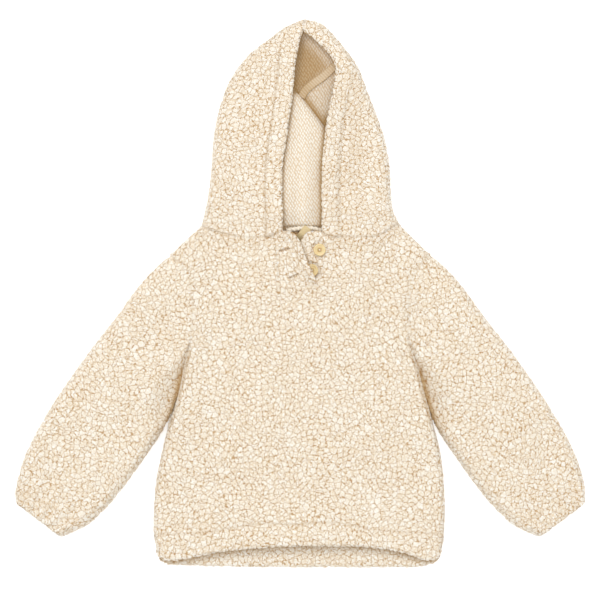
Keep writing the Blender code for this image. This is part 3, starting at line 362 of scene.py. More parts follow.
# ------------------------------------------------------- form of the pile, mm
BED_LEVEL = 0.80            # height of a curl that lies at the cloth's nominal face
FLAP_STEP = 0.55            # between points of the placket's pile
OVERLAPS = (0.7, 1.4, 2.1)  # points of the placket's pile that run on over its seams
FLAP_PUFF = 1.7             # swelling along the flap's free edge
SEWN_TOP_Y = 13.5           # the flap's free edge is sewn down below this
CROWN_SEAM_VALLEY = 0.1     # how far the hood's seam is drawn in at the crown
FACING_DRAWN = {-1: 1.0, 1: 0.35}  # how far the facing's stitches are drawn in
# Creases of the fold inside the hood, as in the tables of troughs.
INNER_CREASES = (
    (-10.0, 90.0, 2.0, 150.0, 5.0, 1.2),
    (16.0, 80.0, 22.0, 128.0, 4.0, 0.8),
)
STITCH_DEPTH = 0.9          # how far a line of stitches lies in the pile
HOOD_STITCH_DEPTH = 0.6
SEAM_DRAWN = 0.35           # a plain seam's share of that depth
SEAM_SLIP = 1.3             # how far a piece's pile reaches under the next one's at a seam
HOOD_END_FALL = 3.5         # and how far it falls there, on the hood
FRONT_INSET = 2.3           # how far in from a panel's edges its cloth ends
BACK_INSET = 2.6
PLACKET_INSET = 0.06        # the same as a share of the way to the piece's middle
SKIRT_IN = 1.2              # how far in the pile starts where it reaches under nothing
# Rows of the front's pile beyond its seams: share of its reach, and its fall.
SKIRT = ((0.4, 0.3), (0.8, 1.0), (1.0, 3.5))
# Rows of a sleeve's pile beyond the armhole: how far, and how far down.
SLEEVE_REACH = ((1.0, 0.3), (2.0, 1.0))
ARMPIT_FILL = 9.0           # the pile of two pieces fills the pit where they meet
ARMPIT_REACH = 11.0
ARMPIT_RISE = 4.0
ARMPIT_RISE_Y = -56.0


# ---------------------------------------------------------- camera and light
def area_light(name, location, size, power, colour):
    """Round lamp that is aimed at the middle of the plane."""
    data = bpy.data.lights.new(name, "AREA")
    data.shape = "DISK"
    data.size = size
    data.energy = power
    data.color = colour
    light = bpy.data.objects.new(name, data)
    light.location = location
    light.rotation_euler = (-light.location).to_track_quat("-Z", "Y").to_euler()
    bpy.context.scene.collection.objects.link(light)


CAMERA_OVER = (0.0005, -0.007)
CAMERA_HEIGHT = 2.25        # above the middle of the garment's height
MIDDLE_HEIGHT = 0.008
scene = bpy.context.scene
camera = bpy.data.objects.new("camera", bpy.data.cameras.new("camera"))
scene.collection.objects.link(camera)
camera.data.lens = 135.0
camera.data.sensor_width = 36.0
camera.data.dof.use_dof = False
camera.location = (*CAMERA_OVER, CAMERA_HEIGHT + MIDDLE_HEIGHT)
scene.camera = camera
scene.view_settings.view_transform = "Standard"

world = bpy.data.worlds.new("studio")
world.use_nodes = True
scene.world = world
background = world.node_tree.nodes["Background"]
background.inputs["Color"].default_value = (1.0, 1.0, 1.0, 1.0)
background.inputs["Strength"].default_value = 0.88
area_light("key", (-0.7, 1.7, 2.5), 1.1, 26.5, (1.0, 0.99, 0.98))
area_light("fill", (0.3, -0.4, 2.4), 1.6, 9.0, (1.0, 1.0, 1.0))


def build_floor():
    """Plain pale floor, a little brighter than the light on it makes it."""
    bpy.ops.mesh.primitive_plane_add(size=12.0, location=(0.0, 0.0, -0.0002))
    floor = bpy.context.object
    floor.name = "floor"
    material = bpy.data.materials.new("white_floor")
    material.use_nodes = True
    shader = material.node_tree.nodes["Principled BSDF"]
    shader.inputs["Base Color"].default_value = (0.9, 0.9, 0.9, 1.0)
    shader.inputs["Roughness"].default_value = 1.0
    shader.inputs["Specular IOR Level"].default_value = 0.0
    shader.inputs["Emission Color"].default_value = (1.0, 1.0, 1.0, 1.0)
    shader.inputs["Emission Strength"].default_value = 0.35
    floor.data.materials.append(material)


build_floor()

# -------------------------------------------------------------- looks, mm
STEP = 1.05                 # between points of the pile where it shows
LOW_STEP = 2.2              # and underneath
CLOTH_STEP = 4.5            # between points of the cloth under the pile
PILE = 1.35                 # depth of the gaps between curls
EDGE_SWELL = 1.6            # how much deeper the pile is on upright faces
PILE_BED = 2.1              # the pile takes this much of the wall's thickness
RIM = 0.6                   # swelling of a rounded edge between its two faces
LOBE = 12.0                 # widths of a tuft of curls, a curl and the lumps on it
CURL = 5.1
SMALL_CURL = 2.7
# Noises that bend the cells one after another: scale, detail, how far.
BENDS = ((0.022, 0.0, 12.0), (0.26, 1.0, 4.8), (0.72, 1.0, 2.5))
CURL_DOME = 1.1             # how far in from its edge a cell's rounding reaches
SMALL_DOME = 0.8
TOP_RADIUS = 0.8            # of a curl's width
CURL_SHARE = 0.5            # parts of the pile's height
TOP_SHARE = 0.2
SMALL_SHARE = 0.3
# The gaps between and inside curls only colour the pile, as painted shade.
CURL_GAP = (0.42, 0.11)     # distances from an edge where its gap starts and is full
SMALL_GAP = (0.42, 0.08)
LOBE_GAP = (0.7, 0.08)
LOBE_GAP_SHARE = 0.1        # how much of a gap there is between tufts
SWIRL = 14.0                # how tightly the fibres wind in a curl
HEM_STITCHES = (
    (-144.0, -241.0), (-107.5, -240.0), (-64.5, -234.0), (-31.5, -229.5), (-9.5, -231.0),
    (33.5, -229.0), (55.5, -232.5), (82.5, -237.0), (120.5, -239.5), (143.0, -240.5),
)
KNIT_COLUMN = 2.9           # between the knit's stitches, across and along
KNIT_ROW = 2.6
KNIT_TILT = -55.0           # degrees
KNIT_DEPTH = 0.28
THREAD_COLUMN = 1.0         # the same for tape and thread
THREAD_ROW = 0.8
THREAD_TILT = 38.0
THREAD_DEPTH = 0.1
# Nominal lengths that the spacing of the grids' points is worked out from.
FRONT_WIDTH = 288.0
FRONT_LENGTH = 328.0
BACK_LENGTH = 332.0
SLEEVE_LENGTH = 282.0
HOOD_LENGTH = 205.0
# Points over the top and underneath, in the pile and in the cloth under it.
SLEEVE_POINTS = (92, 40)
SLEEVE_CLOTH_POINTS = (26, 12)
HOOD_POINTS = (88, 42)
HOOD_CLOTH_POINTS = (22, 24)
FACING_POINTS = 22


# -------------------------------------------------------------------- nodes
class Web:
    """Adds nodes to a tree, each with its inputs, and returns an output."""

    def __init__(self, tree):
        self.tree = tree

    def node(self, kind, inputs, output=0, **settings):
        made = self.tree.nodes.new(kind)
        for key, value in settings.items():
            setattr(made, key, value)
        for key, value in inputs.items():
            self.put(made.inputs[key], value)
        return None if output is None else made.outputs[output]

    def put(self, socket, value):
        """Link an output to a socket, or set the socket to a value."""
        if isinstance(value, bpy.types.NodeSocket):
            self.tree.links.new(value, socket)
        else:
            socket.default_value = value

    def fill(self, node, **values):
        """Put values or outputs into a node, with _ for each space in an input's name."""
        for name, value in values.items():
            self.put(node.inputs[name.replace("_", " ")], value)

    def math(self, operation, a, b=0.0, clamp=False):
        return self.node("ShaderNodeMath", {0: a, 1: b}, operation=operation, use_clamp=clamp)

    def weighted(self, a, share_a, b, share_b):
        """Sum of two values, each times its own share."""
        return self.math("ADD", self.math("MULTIPLY", a, share_a),
                         self.math("MULTIPLY", b, share_b))

    def add_scaled(self, vector, size, to):
        """to + vector * size."""
        inputs = {0: vector, 1: (size,) * 3, 2: to}
        return self.node("ShaderNodeVectorMath", inputs, operation="MULTIPLY_ADD")

    def ramp(self, value, low, high):
        """Smooth step from 0 at low to 1 at high."""
        inputs = {"Value": value, "From Min": low, "From Max": high}
        return self.node("ShaderNodeMapRange", inputs, interpolation_type="SMOOTHSTEP")

    def noise(self, at, scale, detail=2.0, output=0):
        inputs = {"Vector": at, "Scale": scale, "Detail": detail}
        return self.node("ShaderNodeTexNoise", inputs, output)

    def cells(self, at, size, feature, output=0):
        inputs = {"Vector": at, "Scale": 1.0 / size}
        return self.node("ShaderNodeTexVoronoi", inputs, output, feature=feature,
                         voronoi_dimensions="2D")

    def colour(self, share, a, b, blend="MIX"):
        inputs = {"Factor": share, "A": a, "B": b}
        made = self.tree.nodes.new("ShaderNodeMix")
        made.data_type = "RGBA"
        made.blend_type = blend
        for socket in made.inputs:
            if socket.enabled and socket.name in inputs:
                self.put(socket, inputs[socket.name])
        return next(s for s in made.outputs if s.enabled)

    def bump(self, height, distance_mm, strength):
        inputs = {"Height": height, "Distance": distance_mm * MM, "Strength": strength}
        return self.node("ShaderNodeBump", inputs)

    def dome(self, value, radius):
        """Quarter of a circle, from 0 at 0 to 1 at the radius."""
        t = self.math("DIVIDE", value, radius, clamp=True)
        return self.math("SQRT", self.math("MULTIPLY", t, self.math("SUBTRACT", 2.0, t)))


def curls(web, at):
    """The pile at a point in mm: height from 0 to 1, gaps, fine gaps, swirl, each curl's tone."""
    bent = at
    for scale, detail, size in BENDS:
        bent = web.add_scaled(web.noise(at, scale, detail, output=1), size, bent)
    lobe, curl, small = [web.math("MULTIPLY", web.cells(bent, size, "DISTANCE_TO_EDGE"), size)
                         for size in (LOBE, CURL, SMALL_CURL)]
    centre = web.cells(bent, CURL, "F1")
    own = web.cells(bent, CURL, "F1", output=1)
    parts = web.node("ShaderNodeSeparateXYZ", {0: own}).node
    round_top = web.math("POWER", web.math("DIVIDE", centre, TOP_RADIUS), 2.0)
    round_top = web.math("SUBTRACT", 1.0, round_top, clamp=True)
    height = web.weighted(web.dome(curl, CURL_DOME), CURL_SHARE, round_top, TOP_SHARE)
    height = web.math("ADD", height, web.math("MULTIPLY", web.dome(small, SMALL_DOME), SMALL_SHARE))
    between_lobes = web.math("MULTIPLY", web.ramp(lobe, *LOBE_GAP), LOBE_GAP_SHARE)
    gap = web.math("ADD", web.ramp(curl, *CURL_GAP), between_lobes, clamp=True)
    fine = web.math("MULTIPLY", web.ramp(small, *SMALL_GAP), web.ramp(parts.outputs[0], 0.0, 0.5))
    swirl = web.weighted(centre, SWIRL, web.noise(at, 0.6, 1.0), SWIRL)
    return height, gap, fine, web.math("SINE", swirl), parts.outputs[1]


# ------------------------------------------------------------------- curves
def smooth(t):
    """Ease from 0 to 1."""
    t = np.clip(t, 0.0, 1.0)
    return t * t * (3.0 - 2.0 * t)


def dome(t):
    """Quarter of a circle, rising from 0 at t = 0 to 1 at t = 1."""
    t = np.clip(t, 0.0, 1.0)
    return np.sqrt(1.0 - (1.0 - t) ** 2)


def mix(a, b, t):
    return a + (b - a) * t


def bell(away, width):
    """1 in the middle, falling to nearly 0 on both sides within two widths."""
    return np.exp(-(away / width) ** 2)


def set_in(shares, by):
    """Shares of a width, drawn in at both of its ends by a share of it."""
    return by + shares * (1 - 2 * by)


def run_of(line):
    """Length that a line has run at each of its points."""
    return np.concatenate(([0.0], np.cumsum(np.linalg.norm(np.diff(line, axis=0), axis=1))))


def spline(knots, params):
    """Points of a smooth curve through knots, at shares of its length."""
    knots = np.asarray(knots, float)
    at = run_of(knots[:, :2])
    slopes = np.gradient(knots, at, axis=0)
    where = np.clip(np.asarray(params, float), 0.0, 1.0) * at[-1]
    i = np.clip(np.searchsorted(at, where, side="right") - 1, 0, len(at) - 2)
    h = (at[i + 1] - at[i])[:, None]
    t = ((where - at[i])[:, None]) / h
    a, b = knots[i], knots[i + 1]
    left = (2 * t**3 - 3 * t**2 + 1) * a + (t**3 - 2 * t**2 + t) * h * slopes[i]
    right = (-2 * t**3 + 3 * t**2) * b + (t**3 - t**2) * h * slopes[i + 1]
    return left + right


def curve(knots, count=60):
    """Smooth curve through knots, as evenly spaced points."""
    return spline(knots, np.linspace(0.0, 1.0, count))


def chain(*lines):
    """Lines joined end to end, each keeping its own corners."""
    rest = [np.asarray(line, float)[1:] for line in lines[1:]]
    return np.concatenate([np.asarray(lines[0], float), *rest])


def shares_of(line):
    """Share of its length that a line has run at each of its points."""
    run = run_of(line)
    return run / run[-1]


def along(line, params):
    """Points at shares of the length of a line."""
    line = np.asarray(line, float)
    at = shares_of(line)
    return np.stack([np.interp(params, at, line[:, k]) for k in range(line.shape[1])], axis=1)


def distance(points, line):
    """Distance of each point to a polyline, in the plane."""
    points = np.asarray(points, float)
    line = np.asarray(line, float)
    best = np.full(points.shape[:-1], 1e9)
    for a, b in zip(line[:-1], line[1:]):
        ab = b - a
        t = ((points - a) @ ab) / max(float(ab @ ab), 1e-9)
        near = a + np.clip(t, 0.0, 1.0)[..., None] * ab
        best = np.minimum(best, np.linalg.norm(points - near, axis=-1))
    return best


def nearest(points, lines):
    """Distance of each point to the nearest of some polylines."""
    return np.minimum.reduce([distance(points, line) for line in lines])


def from_point(points, x, y):
    """Distance of each point to one place in the plane."""
    return np.hypot(points[..., 0] - x, points[..., 1] - y)


def troughs(points, folds, mirror=1.0):
    """Depth of the soft folds at each point."""
    total = np.zeros(points.shape[:-1])
    for x0, y0, x1, y1, width, depth in folds:
        line = ((mirror * x0, y0), (mirror * x1, y1))
        total += depth * bell(distance(points, line), width)
    return total


def patch(bottom, top, left, right, u, v):
    """Coons patch between four boundary curves, as a grid of rows v by u."""
    low, high = along(bottom, u), along(top, u)
    west, east = along(left, v), along(right, v)
    u = u[None, :, None]
    v = v[:, None, None]
    ruled_v = (1 - v) * low[None] + v * high[None]
    ruled_u = (1 - u) * west[:, None] + u * east[:, None]
    corners = ((1 - u) * (1 - v) * low[0] + u * (1 - v) * low[-1]
               + (1 - u) * v * high[0] + u * v * high[-1])
    return ruled_v + ruled_u - corners


def side_line(side):
    """Folded side of the body, from hem corner to armpit; side is -1 or 1."""
    column = 1 if side < 0 else 2
    return curve([(row[column], row[0]) for row in BODY_SIDES])


def armhole_line(side):
    """Armhole seam from the armpit to the shoulder point."""
    knots = [(MIDDLE_X + side * out, y) for out, y in ARMHOLE]
    knots[0] = tuple(side_line(side)[-1])
    return curve(knots)


def shoulder_line(side):
    """Folded shoulder, from the armhole to the hood."""
    corner = NECK_RIGHT[0] if side < 0 else NECK_LEFT[-1]
    middle = (MIDDLE_X + side * SHOULDER_MIDDLE[0], SHOULDER_MIDDLE[1])
    return curve([armhole_line(side)[-1], middle, corner], 20)


def both(line):
    """A line of the right side and the same of the left."""
    return [line(side) for side in (-1, 1)]


def tucked_line(side):
    """Inner edge of the sleeve below the armpit, which the back keeps clear of."""
    knots = np.array([(MIDDLE_X + side * row[2], row[3]) for row in SLEEVE_STATIONS[:5]])
    knots[0] = side_line(side)[-1]
    return curve(knots)


def armpit_fill(plan, side):
    """How much less the cloth is rounded off near an armpit."""
    return ARMPIT_FILL * bell(from_point(plan, *armhole_line(side)[0]), ARMPIT_REACH)


def tuck(y):
    """1 where the sleeve's edge is tucked under the front, 0 elsewhere."""
    return smooth((TUCK_TOP_Y + 18.0 - y) / 22.0) * smooth((y - TUCK_LOW_Y) / 26.0)


def hem_share(y):
    """1 in the turned hem, 0 above it."""
    return smooth((HEM_LINE_Y + HEM_RAMP / 2 - y) / HEM_RAMP)


def front_height(plan):
    """Outer height of the front panel away from its edges."""
    x, y = plan[..., 0], plan[..., 1]
    across = np.clip(1.0 - (x / BODY_HALF_WIDTH) ** 2, 0.0, 1.0)
    body = BODY_REST + BODY_CROWN * across
    chest = CHEST_REST + CHEST_CROWN * np.clip(1.0 - (x / CHEST_HALF_WIDTH) ** 2, 0.0, 1.0)
    hem = HEM_REST + HEM_CROWN * across
    height = mix(body, chest, smooth((y + 60.0) / 90.0))
    height = mix(height, hem, smooth((-186.0 - y) / 62.0))
    height -= HEM_VALLEY * bell(y - HEM_LINE_Y - 2.0, 5.0)
    return height - troughs(plan, FRONT_FOLDS)


def front_neck():
    """Neck seam of the front, from the right shoulder to the left."""
    middle = ((-17.0, 61.2), (2.5, 61.6), (22.5, 60.4))
    return chain(curve(NECK_RIGHT), curve(middle, 12), curve(NECK_LEFT))


def back_neck(side):
    """Neck seam of the back, from the middle to a shoulder."""
    corner = NECK_RIGHT[0] if side < 0 else NECK_LEFT[-1]
    return curve((CENTRE_SEAM[0], BACK_NECK_MIDDLE[0 if side < 0 else 1], corner), 24)


def round_hem(height, thick, from_edge):
    """Heights of the two faces of a wall whose edge is a fold of the cloth."""
    middle = height - thick / 2
    half = thick / 2 * dome((from_edge + 0.4) / HEM_ROUND)
    return middle + half, middle - half


# ------------------------------------------------------------------- meshes
def curl_tree():
    """Geometry nodes that store the pile's height at each point of a mesh."""
    tree = bpy.data.node_groups.new("curl_heights", "GeometryNodeTree")
    tree.interface.new_socket("Geometry", in_out="INPUT", socket_type="NodeSocketGeometry")
    tree.interface.new_socket("Geometry", in_out="OUTPUT", socket_type="NodeSocketGeometry")
    web = Web(tree)
    source = web.node("NodeGroupInput", {})
    height = curls(web, web.node("GeometryNodeInputPosition", {}))[0]
    inputs = {"Geometry": source, "Name": "curl", "Value": height}
    stored = web.node("GeometryNodeStoreNamedAttribute", inputs, data_type="FLOAT", domain="POINT")
    web.node("NodeGroupOutput", {0: stored}, output=None)
    return tree


def curl_heights(points):
    """Height of the pile at points in mm, from the nodes that also colour it."""
    mesh = bpy.data.meshes.new("points")
    mesh.from_pydata(points.reshape(-1, 3), [], [])
    obj = bpy.data.objects.new("points", mesh)
    bpy.context.scene.collection.objects.link(obj)
    obj.modifiers.new("curls", "NODES").node_group = CURL_TREE
    shown = obj.evaluated_get(bpy.context.evaluated_depsgraph_get()).data
    height = np.zeros(len(shown.vertices), np.float32)
    shown.attributes["curl"].data.foreach_get("value", height)
    bpy.data.objects.remove(obj)
    bpy.data.meshes.remove(mesh)
    return height.reshape(points.shape[:-1]).astype(float)


def grid_normals(points, closed, facing):
    """Unit normals of a grid of points, softened over their neighbours."""
    if closed:
        wide = np.concatenate((points[:, -1:], points, points[:, :1]), axis=1)
        across = (wide[:, 2:] - wide[:, :-2]) / 2
    else:
        across = np.gradient(points, axis=1)
    normal = np.cross(across, np.gradient(points, axis=0))
    for _ in range(2):
        normal[1:-1] = (normal[:-2] + 2 * normal[1:-1] + normal[2:]) / 4
        if closed:
            normal = (np.roll(normal, 1, axis=1) + 2 * normal + np.roll(normal, -1, axis=1)) / 4
        else:
            normal[:, 1:-1] = (normal[:, :-2] + 2 * normal[:, 1:-1] + normal[:, 2:]) / 4
    normal /= np.maximum(np.linalg.norm(normal, axis=-1, keepdims=True), 1e-9)
    return normal if normal[..., 2].mean() * facing > 0 else -normal


def grid_mesh(name, points, closed=False, keep=None, flip=False, **fields):
    """Mesh of a grid of points in mm, with fields stored on its points."""
    rows, columns = points.shape[:2]
    index = np.arange(rows * columns).reshape(rows, columns)
    if closed:
        index = np.concatenate((index, index[:, :1]), axis=1)
    quads = np.stack((index[:-1, :-1], index[:-1, 1:], index[1:, 1:], index[1:, :-1]), axis=-1)
    quads = quads.reshape(-1, 4) if keep is None else quads[keep]
    if flip:
        quads = quads[:, ::-1]
    used, quads = np.unique(quads, return_inverse=True)
    mesh = bpy.data.meshes.new(name)
    mesh.from_pydata(points.reshape(-1, 3)[used] * MM, [], quads.reshape(-1, 4))
    for field, values in fields.items():
        if values.shape[-1] == 3 and values.ndim == 3:
            made = mesh.attributes.new(field, "FLOAT_VECTOR", "POINT")
            made.data.foreach_set("vector", values.reshape(-1, 3)[used].astype(np.float32).ravel())
        else:
            made = mesh.attributes.new(field, "FLOAT", "POINT")
            made.data.foreach_set("value", values.reshape(-1)[used].astype(np.float32))
    mesh.shade_smooth()
    return mesh


def add_piece(name, mesh, slot, material, *nodes):
    """Show a mesh in place of CAD nodes, on the garment's one body."""
    mesh.materials.clear()
    mesh.materials.append(material)
    obj = bpy.data.objects.new(name, mesh)
    bpy.context.scene.collection.objects.link(obj)
    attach(obj, "root")
    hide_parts(*nodes)
    return obj


def pile(node, base, depth, shade, facing=1, closed=False, keep=None):
    """Curled pile on a grid of points: depth scales it and shade darkens it."""
    normal = grid_normals(base, closed, facing)
    rest = base.copy()
    below = np.maximum(np.percentile(base[..., 2], 90) - base[..., 2], 0.0)
    rest[..., :2] += 0.25 * normal[..., :2] * below[..., None]
    swollen = depth * (1.0 + EDGE_SWELL * (normal[..., 0] ** 2 + normal[..., 1] ** 2))
    points = base + normal * ((curl_heights(rest) - BED_LEVEL) * PILE * swollen)[..., None]
    points[..., 2] = np.maximum(points[..., 2], 0.0)
    turned = np.cross(base[1:, 1:] - base[:-1, :-1], base[1:, :-1] - base[:-1, 1:])
    flip = float((turned * normal[:-1, :-1]).sum()) < 0
    mesh = grid_mesh(node + "_pile", points, closed, keep, flip, rest=rest, shade=shade)
    add_piece(node + "_pile", mesh, "fleece", FLEECE, node)


def wall_mesh(name, outer, inner, closed=False, keep=None):
    """Closed wall between two grids of points, as on the solids."""
    rows, columns = outer.shape[:2]
    wrap = columns if closed else columns - 1
    keep = np.ones((rows - 1, wrap), bool) if keep is None else keep
    bm = bmesh.new()
    sheets = [[bm.verts.new(p) for p in grid.reshape(-1, 3) * MM] for grid in (outer, inner)]

    def corner(sheet, i, j):
        return sheets[sheet][i * columns + j % columns]

    def is_kept(i, j):
        j = j % wrap if closed else j
        return 0 <= i < rows - 1 and 0 <= j < wrap and keep[i, j]

    for i, j in zip(*np.nonzero(keep)):
        ring = ((i, j), (i, j + 1), (i + 1, j + 1), (i + 1, j))
        bm.faces.new([corner(0, *k) for k in ring])
        bm.faces.new([corner(1, *k) for k in reversed(ring)])
        for k, cell in enumerate(((i - 1, j), (i, j + 1), (i + 1, j), (i, j - 1))):
            if not is_kept(*cell):
                a, b = ring[k], ring[(k + 1) % 4]
                bm.faces.new((corner(0, *b), corner(0, *a), corner(1, *a), corner(1, *b)))
    loose = [v for v in bm.verts if not v.link_faces]
    bmesh.ops.delete(bm, geom=loose, context="VERTS")
    bmesh.ops.remove_doubles(bm, verts=bm.verts, dist=0.00001)
    bmesh.ops.recalc_face_normals(bm, faces=bm.faces)
    if bm.calc_volume(signed=True) < 0:
        bmesh.ops.reverse_faces(bm, faces=bm.faces)
    mesh = bpy.data.meshes.new(name)
    bm.to_mesh(mesh)
    bm.free()
    mesh.shade_smooth()
    mesh.set_sharp_from_angle(angle=math.radians(SHARP_ANGLE))
    return mesh


def cloth(node, outer, inner, closed=False, keep=None):
    """Thin cloth under a panel's pile, knit on its inner side."""
    mesh = wall_mesh(node + "_cloth", outer, inner, closed, keep)
    add_piece(node + "_cloth", mesh, "knit", KNIT, node)
    return mesh


def stack(plan, height):
    return np.concatenate((plan, height[..., None]), axis=-1)


def graded(length, step, left=0.0, right=0.0):
    """Shares of a length, closer together along an end that is rounded."""
    def turn(radius):
        count = max(2, round(radius * math.pi / 2 / step))
        return radius * (1.0 - np.cos(np.linspace(0.0, math.pi / 2, count + 1)))

    head = turn(left) if left else np.zeros(1)
    tail = length - (turn(right)[::-1] if right else np.zeros(1))
    count = max(2, round((tail[0] - head[-1]) / step))
    middle = np.linspace(head[-1], tail[0], count + 1)[1:-1]
    return np.concatenate((head, middle, tail)) / length


def moved_out(edge, inside, amount, height=None):
    """Points beyond an edge, away from the points inside it, at their own or a given height."""
    away = edge[..., :2] - inside[..., :2]
    away /= np.maximum(np.linalg.norm(away, axis=-1, keepdims=True), 1e-9)
    out = edge.copy()
    out[..., :2] += amount * away
    if height is not None:
        out[..., 2] = height
    return out


def joined(*parts, axis=0):
    """Grids of points end to end, and so each field that comes with them."""
    whole = [(points, *[np.broadcast_to(field, points.shape[:2]) for field in fields])
             for points, *fields in parts]
    return [np.concatenate(pieces, axis=axis) for pieces in zip(*whole)]


# --------------------------------------------------------------- body panels
def front_surface(u, v):
    """Plan, outer, inner and lowest heights of the front at shares u and v."""
    lines = FRONT_LINES
    plan = patch(lines["hem"], lines["north"], lines["west"], lines["east"], u, v)
    folded = nearest(plan, lines["folds"])
    from_side = nearest(plan, lines["folds"][:2])
    sewn = nearest(plan, lines["sewn"])
    folded = folded + np.maximum(*[armpit_fill(plan, side) for side in (-1, 1)])
    y = plan[..., 1]
    under_sleeve = tuck(y) * (1.0 - smooth((from_side - TUCK_FLAT) / TUCK_RAMP))
    floor = mix(SPLIT, HEM_SPLIT, hem_share(y - HEM_LEAD)) + TUCK_LIFT * under_sleeve
    thick = mix(WALL, HEM_WALL, hem_share(y))
    height = front_height(plan) - SEAM_DIP * (1.0 - smooth(sewn / SEAM_DIP_WIDTH))
    height = np.maximum(height, floor + thick)
    outer = floor + EDGE_LIP + (height - floor - EDGE_LIP) * dome(folded / SIDE_ROUND)
    inner = np.maximum(floor, outer - thick)
    from_hem = distance(plan, lines["hem"])
    lip_outer, lip_inner = round_hem(height, thick, from_hem)
    outer = np.minimum(outer, lip_outer)
    inner = np.where(from_hem < HEM_ROUND, np.maximum(inner, lip_inner), inner)
    return plan, outer, np.minimum(inner, outer - 0.5), floor, sewn


def front_lines():
    sides, arms, shoulders = both(side_line), both(armhole_line), both(shoulder_line)
    neck = front_neck()
    north = chain(shoulders[0], neck, shoulders[1][::-1])
    return {
        "hem": curve(FRONT_HEM), "north": north, "west": chain(sides[0], arms[0]),
        "east": chain(sides[1], arms[1]), "folds": (*sides, *shoulders), "sewn": (*arms, neck),
        "arms": arms, "neck": neck,
    }


def slash_shares():
    """Shares of the front's width and length at the edges of its slash."""
    lines = FRONT_LINES
    north = lines["north"]
    first, last = np.interp((SLASH_RIGHT_X, SLASH_LEFT_X), north[:, 0], shares_of(north))
    fine = np.linspace(0.0, 1.0, 400)
    climb = patch(lines["hem"], north, lines["west"], lines["east"],
                  np.array([0.0, first, 1.0]), fine)[:, 1, 1]
    return float(first), float(last), float(np.interp(SLASH_END_Y, climb, fine))


def front_grid(step, side_round, hem_round):
    """Shares across and along the front, with lines at its slash's edges."""
    first, last, row = slash_shares()
    width, length = FRONT_WIDTH, FRONT_LENGTH
    u = np.concatenate((graded(width * first, step, side_round) * first,
                        first + graded(width * (last - first), step) * (last - first),
                        last + graded(width * (1 - last), step, 0.0, side_round) * (1 - last)))
    v = np.concatenate((graded(length * row, step, hem_round) * row,
                        row + graded(length * (1 - row), step, 0.0, side_round) * (1 - row)))
    u, v = np.unique(u.round(9)), np.unique(v.round(9))
    columns = [int(np.argmin(abs(u - share))) for share in (first, last)]
    return u, v, int(np.argmin(abs(v - row))), columns


def stitch_valley(distances, width=1.3):
    """How strongly stitches draw the pile in at a distance from their line."""
    return bell(distances, width)


def button_dimple(plan):
    """1 under the buttons, falling to 0 a little beyond them."""
    found = np.zeros(plan.shape[:-1])
    for _, x, y in BUTTONS:
        away = from_point(plan, x, y) - BUTTON_RADIUS
        found = np.maximum(found, 1.0 - smooth((away - 1.0) / 3.0))
    return found


def build_front():
    """The front's pile. Returns its plan above the slash's end, and the slash's columns."""
    u, v, row, columns = front_grid(STEP, SIDE_ROUND, HEM_ROUND)
    plan, outer, inner, floor, sewn = front_surface(u, v)
    stitches = curve([(x, y) for x, y in HEM_STITCHES], 80)
    drawn = np.maximum(stitch_valley(distance(plan, stitches)), SEAM_DRAWN * stitch_valley(sewn))
    turned = int((plan[:, len(u) // 2, 1] < HEM_LINE_Y).sum())
    dimple = button_dimple(plan)
    top = stack(plan, outer - STITCH_DEPTH * drawn - BUTTON_DIMPLE * dimple)
    under = stack(plan, inner)[turned:0:-1]
    rim = moved_out(top[:1], top[1:2], RIM, (outer[:1] + inner[:1]) / 2)
    # Painted shade along the stitches and seams, below the neck seam, and on the body's side where
    # it turns down beside a sleeve.
    below_neck = bell(distance(plan, FRONT_LINES["neck"]) - 5.0, 6.0) * (abs(plan[..., 0]) > 30.0)
    shaded = 0.45 * drawn + NECK_SHADE * below_neck
    beside = nearest(plan, both(side_line))
    by_sleeve = smooth((-48.0 - plan[..., 1]) / 16.0) * smooth((plan[..., 1] + 140.0) / 14.0)
    turned_down = smooth((4.1 - beside) / 1.4) * smooth((beside + 1.5) / 5.0)
    shaded = shaded + SIDE_SHADE * turned_down * by_sleeve
    base, depth, shade = joined((under, 0.8, 0.0), (rim, 1.0, 0.0),
                                (top, (1.0 - 0.6 * drawn) * (1.0 - 0.5 * dimple), shaded))
    low, sewn = [np.concatenate((field[turned:0:-1], field[:1], field)) for field in (floor, sewn)]
    base, depth, shade = with_skirts(base, depth, shade, low - 0.1,
                                     SEAM_SLIP * stitch_valley(sewn, 3.0))
    gap = len(under) + 1
    keep = np.ones((base.shape[0] - 1, base.shape[1] - 1), bool)
    keep[gap + row:, columns[0] + 1:columns[1] + 1] = False
    pile("front_body", base, depth, shade, keep=keep)
    return plan[row:], columns


def with_skirts(base, depth, shade, low, slip):
    """Grid with its sides and its last row turned down to a low height.

    slip is how far each point of the border reaches under the next piece.
    """
    for axis, place in ((1, 0), (1, -1), (0, -1)):
        beside = 1 if place == 0 else -2
        border, inside = [np.take(base, [k], axis=axis) for k in (place, beside)]
        border_low, border_slip = [np.take(field, [place], axis=axis) for field in (low, slip)]
        tucked_in = SKIRT_IN * np.clip(1.0 - 2.0 * border_slip, 0.0, 1.0)
        for share, fall in SKIRT:
            edge = moved_out(border, inside, (share * border_slip - tucked_in)[..., None])
            fallen = np.maximum(border_low, edge[..., 2] - fall)
            edge[..., 2] = np.minimum(edge[..., 2], fallen)
            small = np.full(edge.shape[:2], 0.5)
            longer = []
            for field, new in ((base, edge), (low, border_low), (slip, border_slip),
                               (depth, small), (shade, np.zeros(small.shape))):
                pair = (new, field) if place == 0 else (field, new)
                longer.append(np.concatenate(pair, axis=axis))
            base, low, slip, depth, shade = longer
    return base, depth, shade


